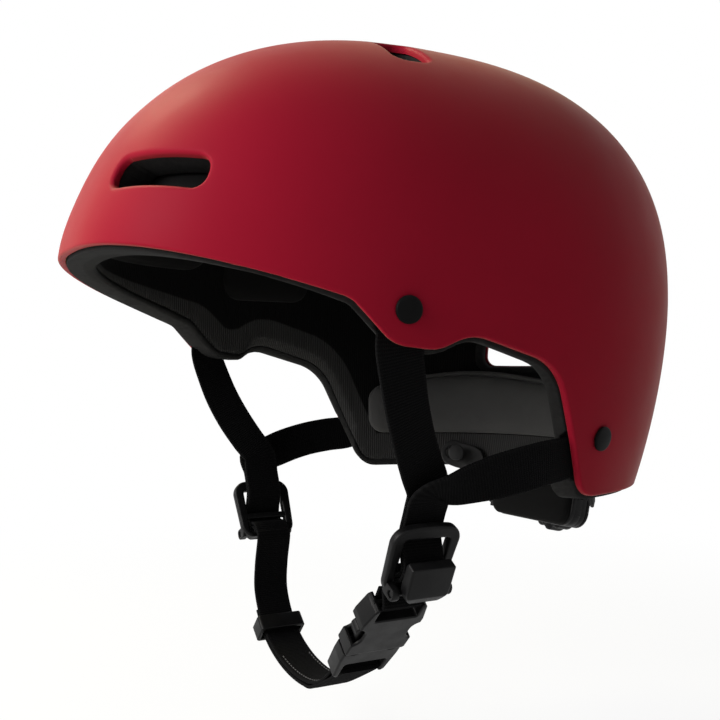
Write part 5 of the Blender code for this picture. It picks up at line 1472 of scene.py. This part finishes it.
def anchor_frame(y, z, side):
    """A frame on the shell's outside at an anchor, with local z pointing out."""
    out_of = wall_normal(np.array(y), np.array(z), side)
    level = np.array([0.0, side, 0.0]) - out_of * side * out_of[1]
    return placed_frame(wall_point(y, z, 0.0, side), level, np.cross(out_of, level))


def refinished(node_name, finish):
    """A CAD node that shows as it is, with another finish."""
    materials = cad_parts[node_name].data.materials
    materials.clear()
    materials.append(finish)


shank = [(0, SHANK_END, 0), (SHANK_RADIUS, SHANK_END, 0.3 * MM), (SHANK_RADIUS, SEAT_GAP, 0)]
edge = [(HEAD_RADIUS, SEAT_GAP, 0.25 * MM), (HEAD_RADIUS, SEAT_GAP + HEAD_EDGE * HEAD_TALL, 0.45 * MM)]
dome = [(HEAD_RADIUS * share, SEAT_GAP + HEAD_TALL * (1 - HEAD_DOME * share**2), 0)
        for share in np.linspace(0.9, 0.0, 8)]
rivet_body = turned_body(rounded_profile(shank + edge + dome), 56)
for word, side in SIDES:
    for where, (y, z) in ANCHORS.items():
        rivet = moulded(f"{word}_{where}_rivet_head", [rivet_body], anchor_frame(y, z, side), RIVET_FINISH)
        dressed(rivet, "helmet", "rivet", f"{word}_{where}_rivet")
        refinished(f"{word}_{where}_anchor_nut", STEEL_FINISH)
print("rivets", len(rivet_body[1]), "triangles each")

# %% [markdown]
# ## The dial and its fit bands
# Behind the nape, a flat housing carries a ribbed knob. The knob turns a small pinion between two racks,
# one above it and one below, so that both bands are drawn in together. Each band is a thin strip that
# leaves the housing, widens and ends at a stud on the foam, where a slot lets it slide. The pinion is
# hidden, so its CAD shape stays.

# %% Housing, lid and knob
DIAL_TILT, DIAL_AT = math.radians(12.0), (0, 93.0 * MM, -95.5 * MM)
DIAL_FRAME = placed_frame(DIAL_AT, (-1, 0, 0), (0, math.sin(DIAL_TILT), math.cos(DIAL_TILT)))
HOUSING_WIDE, HOUSING_TALL, HOUSING_DEEP = 60.0 * MM, 22.0 * MM, 9.0 * MM
HOUSING_CORNER, HOUSING_WALL, HOUSING_STEP = 8.0 * MM, 2.4 * MM, 1.2 * MM
PITCH_RADIUS, GEAR_MODULE = 4.0 * MM, 0.8 * MM
RACK_LOW, RACK_HIGH = 3.2 * MM, 5.6 * MM
RACK_BACK = PITCH_RADIUS + 1.1 * GEAR_MODULE + 3.2 * MM
LID_LOW, LID_THICK, LID_BORE = HOUSING_DEEP + SEAT_GAP, 2.0 * MM, 2.7 * MM
KNOB_RADIUS, KNOB_TALL, KNOB_LOW = 14.5 * MM, 12.0 * MM, HOUSING_DEEP + 0.6 * MM + LID_THICK
KNOB_LOBES, KNOB_DIP = 12, 1.5 * MM
HALF_WIDE, HALF_TALL = 0.5 * HOUSING_WIDE, 0.5 * HOUSING_TALL
HOUSING_BOUNDS = (-HALF_WIDE - MM, HALF_WIDE + MM, -HALF_TALL - MM, HALF_TALL + MM)
housing_field = middle_box(HALF_WIDE, HALF_TALL, HOUSING_CORNER)


def housing_shapes():
    """A floor, a ring with a slot for each rack, and a plain ring above it."""
    room = middle_box(HALF_WIDE - HOUSING_WALL, HALF_TALL - HOUSING_WALL, 6.0 * MM)
    near, far = 0.3 * HOUSING_WIDE, 0.6 * HOUSING_WIDE
    low, high = PITCH_RADIUS - 0.8 * MM, RACK_BACK + 0.3 * MM
    slots = [box_field(-far, -near, low, high, 0.2 * MM), box_field(near, far, -high, -low, 0.2 * MM)]
    ring_low, ring_high = RACK_LOW - SEAT_GAP, RACK_HIGH + SEAT_GAP
    layers = [(housing_field, 0.0, ring_low, 0.8 * MM),
              (cut_out(housing_field, room, *slots), ring_low - 0.8 * MM, ring_high + 0.4 * MM, 0.05 * MM),
              (cut_out(housing_field, room), ring_high, HOUSING_DEEP, 0.3 * MM)]
    return [plate_body(field, HOUSING_BOUNDS, HOUSING_STEP, *heights) for field, *heights in layers]


def knob_body(radius, tall, around=288):
    """A ribbed knob: a turned profile that dips between the lobes, and a dished top in a raised edge."""
    profile = rounded_profile([
        (0, 0, 0), (0.90 * radius, 0, 0), (radius, 0.12 * tall, 0.5 * MM), (radius, 0.80 * tall, 2.0 * MM),
        (0.84 * radius, tall, 0.9 * MM), (0.70 * radius, tall, 0.5 * MM),
        (0.62 * radius, 0.91 * tall, 0.6 * MM), (0.2 * radius, 0.90 * tall, 0), (0, 0.90 * tall, 0)], 7)
    points, faces = turned_body(profile, around)
    angle = np.arctan2(points[:, 1], points[:, 0])
    reach = np.hypot(points[:, 0], points[:, 1])
    ribbed = np.clip((reach / radius - 0.80) / 0.12, 0, 1)
    dip = KNOB_DIP * ribbed * (0.5 - 0.5 * np.cos(KNOB_LOBES * angle)) ** 1.5
    scale = np.where(reach > 0, (reach - dip) / np.where(reach > 0, reach, 1), 1)
    points = points * np.stack([scale, scale, np.ones_like(scale)], axis=1)
    return points + np.array([0, 0, KNOB_LOW]), faces


housing = moulded("dial_tray", housing_shapes(), DIAL_FRAME, MOULDING_FINISH)
dressed(housing, "helmet", "moulding", "dial_housing")
lid_field = cut_out(housing_field, disc_field(0.0, 0.0, LID_BORE))
lid = plate_body(lid_field, HOUSING_BOUNDS, HOUSING_STEP, LID_LOW, LID_LOW + LID_THICK, 0.8 * MM)
dressed(moulded("dial_lid", [lid], DIAL_FRAME, MOULDING_FINISH), "helmet", "moulding", "dial_cover")
knob = moulded("dial_grip", [knob_body(KNOB_RADIUS, KNOB_TALL)], DIAL_FRAME, MOULDING_FINISH, 50.0)
dressed(knob, "dial", "moulding", "dial_knob")
refinished("dial_pinion", MOULDING_FINISH)
print("housing, lid and a knob of", len(knob.data.polygons), "triangles")

# %% Band shapes
TOOTH_PITCH = math.pi * GEAR_MODULE
RACK_ROOT, RACK_TIP = PITCH_RADIUS + 0.9 * GEAR_MODULE, PITCH_RADIUS - 0.55 * GEAR_MODULE
BAND_THICK, BAND_TALL, BAND_TRAVEL, BAND_ROLL = 1.6 * MM, 14.0 * MM, 5.0 * MM, 0.6 * MM
RACK_START, RACK_END = -4.6 * TOOTH_PITCH, 0.5 * HOUSING_WIDE + BAND_TRAVEL + 3.0 * MM
FLANGE_THICK, STUD_SUNK = 1.2 * MM, 0.9 * MM
BAND_GAP = 2 * SEAT_GAP + FLANGE_THICK + STUD_SUNK
BAND_SLOPE, BAND_STEPS = math.radians(20), 16
STUD_X, STUD_Z, STUD, FLANGE = 57.5 * MM, -78.5 * MM, 2.4 * MM, 4.8 * MM


def stud_point(side):
    """Where a band stud meets the foam's inside, and the direction out of the head there."""
    depth = LINER_INSET + LINER_WALL
    scale = profile_share(STUD_Z, depth)
    ahead = oval(STUD_X / (scale * (0.5 * SHELL_WIDTH - depth)), PLAN_POWER)
    y = scale * (0.5 * SHELL_LENGTH - depth) * ahead
    longitude = np.array([math.atan2(side * STUD_X, -y)])
    z = np.array([STUD_Z])
    return dome_at(longitude, z, depth)[0], dome_normals(longitude, z, depth)[0]


def rack_shape(side):
    """A straight rack in the dial's frame: trapezoid teeth on its inner edge, a plain back and a long end."""
    tooth = ((-0.26, RACK_ROOT), (-0.10, RACK_TIP), (0.10, RACK_TIP), (0.26, RACK_ROOT))
    middles = TOOTH_PITCH * np.arange(-4, 7)
    teeth = [(x + share * TOOTH_PITCH, depth) for x in middles for share, depth in tooth]
    outline = np.array([(RACK_START, RACK_ROOT), *teeth, (RACK_END, RACK_ROOT), (RACK_END, RACK_BACK),
                        (RACK_START, RACK_BACK)])
    across = sorted((-side * (RACK_START - MM), -side * (RACK_END + MM)))
    along = sorted((side * 2.5 * MM, side * (RACK_BACK + MM)))
    field = polygon_field(outline * np.array([-side, side]))
    points, faces = plate_body(field, (*across, *along), 0.5 * MM, RACK_LOW, RACK_HIGH, 0.15 * MM)
    return place(DIAL_FRAME, points), faces


def band_route(side, foot, out_of):
    """A band's middle line from its rack to past the stud, its upright directions and the stud's tangent."""
    middle = foot - out_of * (BAND_GAP + 0.5 * BAND_THICK)
    tangent = unit(np.cross([0, 0, 1.0], out_of)) * side
    tangent = tangent if tangent[0] * side > 0 else -tangent
    level = 0.5 * (RACK_LOW + RACK_HIGH)
    near = place(DIAL_FRAME, (-side * (RACK_END - 3 * MM), side * 0.5 * (RACK_ROOT + RACK_BACK), level))
    clear = place(DIAL_FRAME, (-side * (RACK_END + 3 * MM), side * 0.25 * RACK_BACK, level - 2.2 * MM))
    slope = tangent * math.cos(BAND_SLOPE) + np.array([0, 0, math.sin(BAND_SLOPE)])
    bend = middle - slope * 8.5 * MM - out_of * 1.2 * MM
    half_way = 0.5 * (clear + bend) - out_of * 1.0 * MM
    path = curve_through([near, clear, half_way, bend, middle, middle + slope * 9.5 * MM], BAND_STEPS)
    up_end = np.cross(out_of, tangent)
    up_end = up_end if up_end[2] > 0 else -up_end
    share = np.clip(np.arange(len(path)) / (3 * BAND_STEPS), 0, 1)[:, None]
    up = DIAL_FRAME[:, 1] * (1 - share) + up_end * share
    return path, square_to(runs_of(path), up), tangent


def strip_shape(side, foot, out_of):
    """The band's thin strip: it widens behind the rack, ends round, and has a slot as long as its travel."""
    path, up, tangent = band_route(side, foot, out_of)
    thick = np.cross(up, runs_of(path))
    length = lengths_along(path)
    tall = np.interp(np.arange(len(path)) / 4, [7, 12], [RACK_BACK - RACK_ROOT, BAND_TALL])
    stud_at, slide = length[4 * BAND_STEPS], BAND_TRAVEL * abs(tangent[0])
    slot_half = STUD + 0.9 * MM
    reach = STUD + 1.3 * MM
    slot = box_field(stud_at - reach, stud_at + slide + reach, -slot_half, slot_half, slot_half)
    end_cap = box_field(-20 * MM, length[-1], -0.5 * BAND_TALL, 0.5 * BAND_TALL, 6.5 * MM)

    def field(p):
        edge = 0.5 * np.interp(p[:, 0], length, tall) - np.abs(p[:, 1])
        return np.minimum(np.minimum(edge, end_cap(p)), -slot(p))

    edge_reach = 0.5 * BAND_TALL + MM
    pairs, triangles = grid(np.linspace(0, length[-1], 90), np.linspace(-edge_reach, edge_reach, 28))
    pairs, triangles = trim(pairs, triangles, field, [0.05 * MM, 0.2 * MM, BAND_ROLL])
    half = 0.5 * BAND_THICK - rolled(np.maximum(field(pairs), 0), BAND_ROLL)[:, None]
    on_path, on_up, on_thick = (sampled(pairs[:, 0], length, values) for values in (path, up, thick))
    flat = on_path + pairs[:, 1:] * on_up
    out = on_thick * half
    points, faces, _ = sewn(flat + out, flat - out, triangles)
    return points, outward(points - points.mean(axis=0), faces)


def stud_shape():
    """A stud with a flange on the foam, a post through the band's slot and a head that keeps the band on."""
    reach = BAND_GAP + BAND_THICK + 0.85 * BAND_TRAVEL + 1.4 * MM
    start = -SEAT_GAP - STUD_SUNK
    head = 0.9 * FLANGE
    return turned_body(rounded_profile([
        (0, -reach - 1.4 * MM, 0), (head, -reach - 1.1 * MM, 0.6 * MM), (head, -reach, 0.25 * MM),
        (STUD, -reach, 0.2 * MM), (STUD, start - FLANGE_THICK, 0.2 * MM),
        (FLANGE, start - FLANGE_THICK, 0.25 * MM), (FLANGE, start, 0.25 * MM), (0, start, 0)]), 40)


print("band shapes ready")

# %% Bands and studs
for word, side in SIDES:
    foot, out_of = stud_point(side)
    shapes = [rack_shape(side), strip_shape(side, foot, out_of)]
    band = moulded(f"{word}_fit_strip", shapes, WHOLE_FRAME, BAND_FINISH)
    dressed(band, f"{word}_band", "moulding", f"{word}_fit_band")
    level = np.cross([0, 0, 1.0], out_of)
    stud_frame = placed_frame(foot, level, np.cross(out_of, level))
    stud = moulded(f"{word}_stud_post", [stud_shape()], stud_frame, BAND_FINISH)
    dressed(stud, "helmet", "moulding", f"{word}_band_stud")
print("bands and studs")

# %% [markdown]
# ## The pads
# The pads are thin foam in knitted cloth, fixed to the liner's inside. Each starts as a thin form whose
# back lies on the liner. Cloth pressure then swells its front while the back and the sewn edge are held,
# and the result is kept.

# %% Pad tools
SWELL_FRAMES, SWELL_PRESSURE = 20, 4.0
PAD_EDGE, PAD_THICKNESS, PAD_SWELL, PAD_FILL = 2.2 * MM, 7.0 * MM, 1.6 * MM, 0.6
PAD_SHOULDER, PAD_ROLL, PAD_HELD, PAD_SPARE = 8.0 * MM, 1.0 * MM, 1.5 * MM, 0.9 * MM
PAD_CORNER, PAD_STEP, PAD_REACH, PAD_MARGIN = 9.0 * MM, 2.4 * MM, 95.0 * MM, 0.01
PAD_SCORES = (0.1 * MM, 0.5 * MM, 1.6 * MM)


def vertex_places(mesh):
    """The places of a mesh's points, one row each."""
    places = np.empty(3 * len(mesh.vertices), np.float32)
    mesh.vertices.foreach_get("co", places)
    return places.reshape(-1, 3)


def puffed(piece, held, cap):
    """Blow a pad up with cloth pressure, holding the marked points, and keep the capped result."""
    rest = vertex_places(piece.data)
    group = piece.vertex_groups.new(name="held")
    group.add(np.flatnonzero(held).tolist(), 1.0, "REPLACE")
    swell = piece.modifiers.new("swell", "CLOTH")
    swell.settings.use_pressure = True
    swell.settings.uniform_pressure_force = SWELL_PRESSURE
    swell.settings.effector_weights.gravity = 0.0
    swell.settings.vertex_group_mass = "held"
    swell.point_cache.frame_end = SWELL_FRAMES
    for k in range(1, SWELL_FRAMES + 1):
        bpy.context.scene.frame_set(k)
    move = vertex_places(piece.evaluated_get(bpy.context.evaluated_depsgraph_get()).data) - rest
    piece.modifiers.remove(swell)
    piece.vertex_groups.clear()
    bpy.context.scene.frame_set(1)
    size = np.linalg.norm(move, axis=1, keepdims=True)
    rest = rest + move * np.minimum(1.0, cap / np.maximum(size, 1e-9))
    piece.data.vertices.foreach_set("co", np.ascontiguousarray(rest, np.float32).ravel())
    piece.data.update()
    most = round(1000 * float(size.max()), 2)
    print(piece.name, "swelled by up to", most, "mm, capped at", round(1000 * cap, 2))


def pad_piece(name, pairs, triangles, edge, wall_of, node, finish, thickness=PAD_THICKNESS, cap=PAD_SWELL):
    """A pad on the liner: its front rises from the sewn edge as a round shoulder, then swells."""
    rise = np.sqrt(1 - (1 - np.clip(edge / PAD_SHOULDER, 0, 1)) ** 2)
    front = PAD_EDGE + (thickness - PAD_EDGE - PAD_SPARE) * rise - rolled(edge, PAD_ROLL)
    points, faces, first = sewn(wall_of(pairs, front), wall_of(pairs, 0 * edge), triangles)
    uv = np.concatenate([pairs[first], pairs[first]])
    piece = put_mesh(name, points, outward(points, faces), finish, uv, 60.0)
    puffed(piece, np.concatenate([edge[first] < PAD_HELD, np.ones(len(first), bool)]), cap)
    return dressed(piece, "helmet", "pad", node)


def liner_wall(pairs, depth):
    """The liner's inside by longitude and height, and depth further in."""
    return dome_at(pairs[:, 0], pairs[:, 1], PAD_INSET + depth)


def liner_pad(name, lon_low, lon_high, z_low, z_high, node, finish, lift=None):
    """A rounded-rectangle pad between two longitudes, in degrees, and two heights. Lift waves its top."""
    start, end = np.radians(np.array([lon_low, lon_high]))
    shape = box_field(start * PAD_REACH, end * PAD_REACH, z_low, z_high, PAD_CORNER)

    def field(p):
        flat = p * np.array([PAD_REACH, 1.0])
        if lift:
            flat[:, 1] -= lift(p[:, 0]) * np.clip((p[:, 1] - z_low) / (z_high - z_low), 0, 1)
        return shape(flat)

    wide = max(10, int((end - start) * PAD_REACH / PAD_STEP))
    tall = max(8, int((z_high - z_low) / PAD_STEP))
    heights = np.linspace(z_low - MM, z_high + 3 * MM, tall + 2)
    pairs, triangles = grid(np.linspace(start - PAD_MARGIN, end + PAD_MARGIN, wide), heights)
    pairs, triangles = trim(pairs, triangles, field, PAD_SCORES)
    return pad_piece(name, pairs, triangles, np.maximum(field(pairs), 0), liner_wall, node, finish)


print("pad tools ready")

# %% Liner pads
REAR_PAD_TOP, REAR_PAD_WAVE, REAR_PAD_SWING = -36.6 * MM, 2.7 * MM, math.radians(31.0)


def pad_wave(longitude):
    """How far the rear pad's top edge lies above its mean: low at the middle and high above each side."""
    return -REAR_PAD_WAVE * np.cos((longitude - np.pi) * np.pi / REAR_PAD_SWING)


liner_pad("brow_cushion", -58, 58, BROW_Z + 5 * MM, BROW_Z + 36 * MM, "brow_pad", PAD_FINISH)
liner_pad("rear_cushion", 118, 242, SKIRT_Z + 16.5 * MM, REAR_PAD_TOP, "rear_pad", GREY_PAD_FINISH, pad_wave)
liner_pad("left_side_cushion", 66, 96, 6 * MM, 48 * MM, "left_side_pad", PAD_FINISH)
liner_pad("right_side_cushion", -96, -66, 6 * MM, 48 * MM, "right_side_pad", PAD_FINISH)
print("liner pads")

# %% Crown and nape pads
CROWN_PAD_SHARE, CROWN_PAD_SPAN = 0.30, 110.0 * MM
NAPE_SHARE, NAPE_CORNER, NAPE_THICKNESS, NAPE_SWELL = 0.485, 6.8 * MM, 4.7 * MM, 0.7 * MM


def crown_wall(pairs, depth):
    """The liner's inside near the crown, by longitude and share of the plan outline."""
    inset = PAD_INSET + depth
    return dome_at(pairs[:, 0], (CROWN_HEIGHT - inset) * oval(pairs[:, 1], CROWN_POWER), inset)


def nape_wall(pairs, depth):
    """The housing's front face, which the nape pad covers; depth is towards the head."""
    return place(DIAL_FRAME, np.concatenate([pairs, (-SEAT_GAP - depth)[:, None]], axis=1))


pairs, triangles = grid(np.linspace(-np.pi, np.pi, 73), CROWN_PAD_SHARE * np.linspace(0, 1, 18) ** 0.8)
edge = (CROWN_PAD_SHARE - pairs[:, 1]) * CROWN_PAD_SPAN
pad_piece("crown_cushion", pairs, triangles, edge, crown_wall, "crown_pad", PAD_FINISH)
nape_field = middle_box(NAPE_SHARE * HOUSING_WIDE, NAPE_SHARE * HOUSING_TALL, NAPE_CORNER)
pairs, triangles = grid(np.linspace(-31 * MM, 31 * MM, 40), np.linspace(-12 * MM, 12 * MM, 17))
pairs, triangles = trim(pairs, triangles, nape_field, PAD_SCORES)
edge = np.maximum(nape_field(pairs), 0)
pad_piece("nape_cushion", pairs, triangles, edge, nape_wall, "nape_pad", PAD_FINISH,
          NAPE_THICKNESS, NAPE_SWELL)
print("crown and nape pads")

# %% Piping on the rear pad
PIPING_RADIUS, PIPING_ABOVE, PIPING_DEPTH = 1.3 * MM, 1.3 * MM, 0.7 * MM


def round_tube(path, radius, around=12):
    """A round cord of cloth along a path, with domed ends."""
    run = runs_of(path)
    side_of = unit(np.cross(run, [0.0, 0.0, 1.0]))
    up = np.cross(side_of, run)
    angle = np.linspace(0, 2 * np.pi, around, endpoint=False)
    ring = np.cos(angle)[None, :, None] * side_of[:, None] + np.sin(angle)[None, :, None] * up[:, None]
    ends = np.minimum(np.arange(len(path)), np.arange(len(path))[::-1])
    size = radius * np.sqrt(1 - (1 - np.clip(ends / 4, 0.05, 1)) ** 2)
    points = (path[:, None] + ring * size[:, None, None]).reshape(-1, 3)
    return points, outward(points - points.mean(axis=0), tube_faces(len(path), around, True))


longitude = np.radians(np.linspace(123, 237, 160))
height = REAR_PAD_TOP + pad_wave(longitude) + PIPING_ABOVE
cord = round_tube(dome_at(longitude, height, PAD_INSET + PIPING_DEPTH), PIPING_RADIUS)
dressed(moulded("rear_pad_piping", [cord], WHOLE_FRAME, GREY_PAD_FINISH), "helmet", "pad")
print("piping of", len(cord[1]), "triangles")
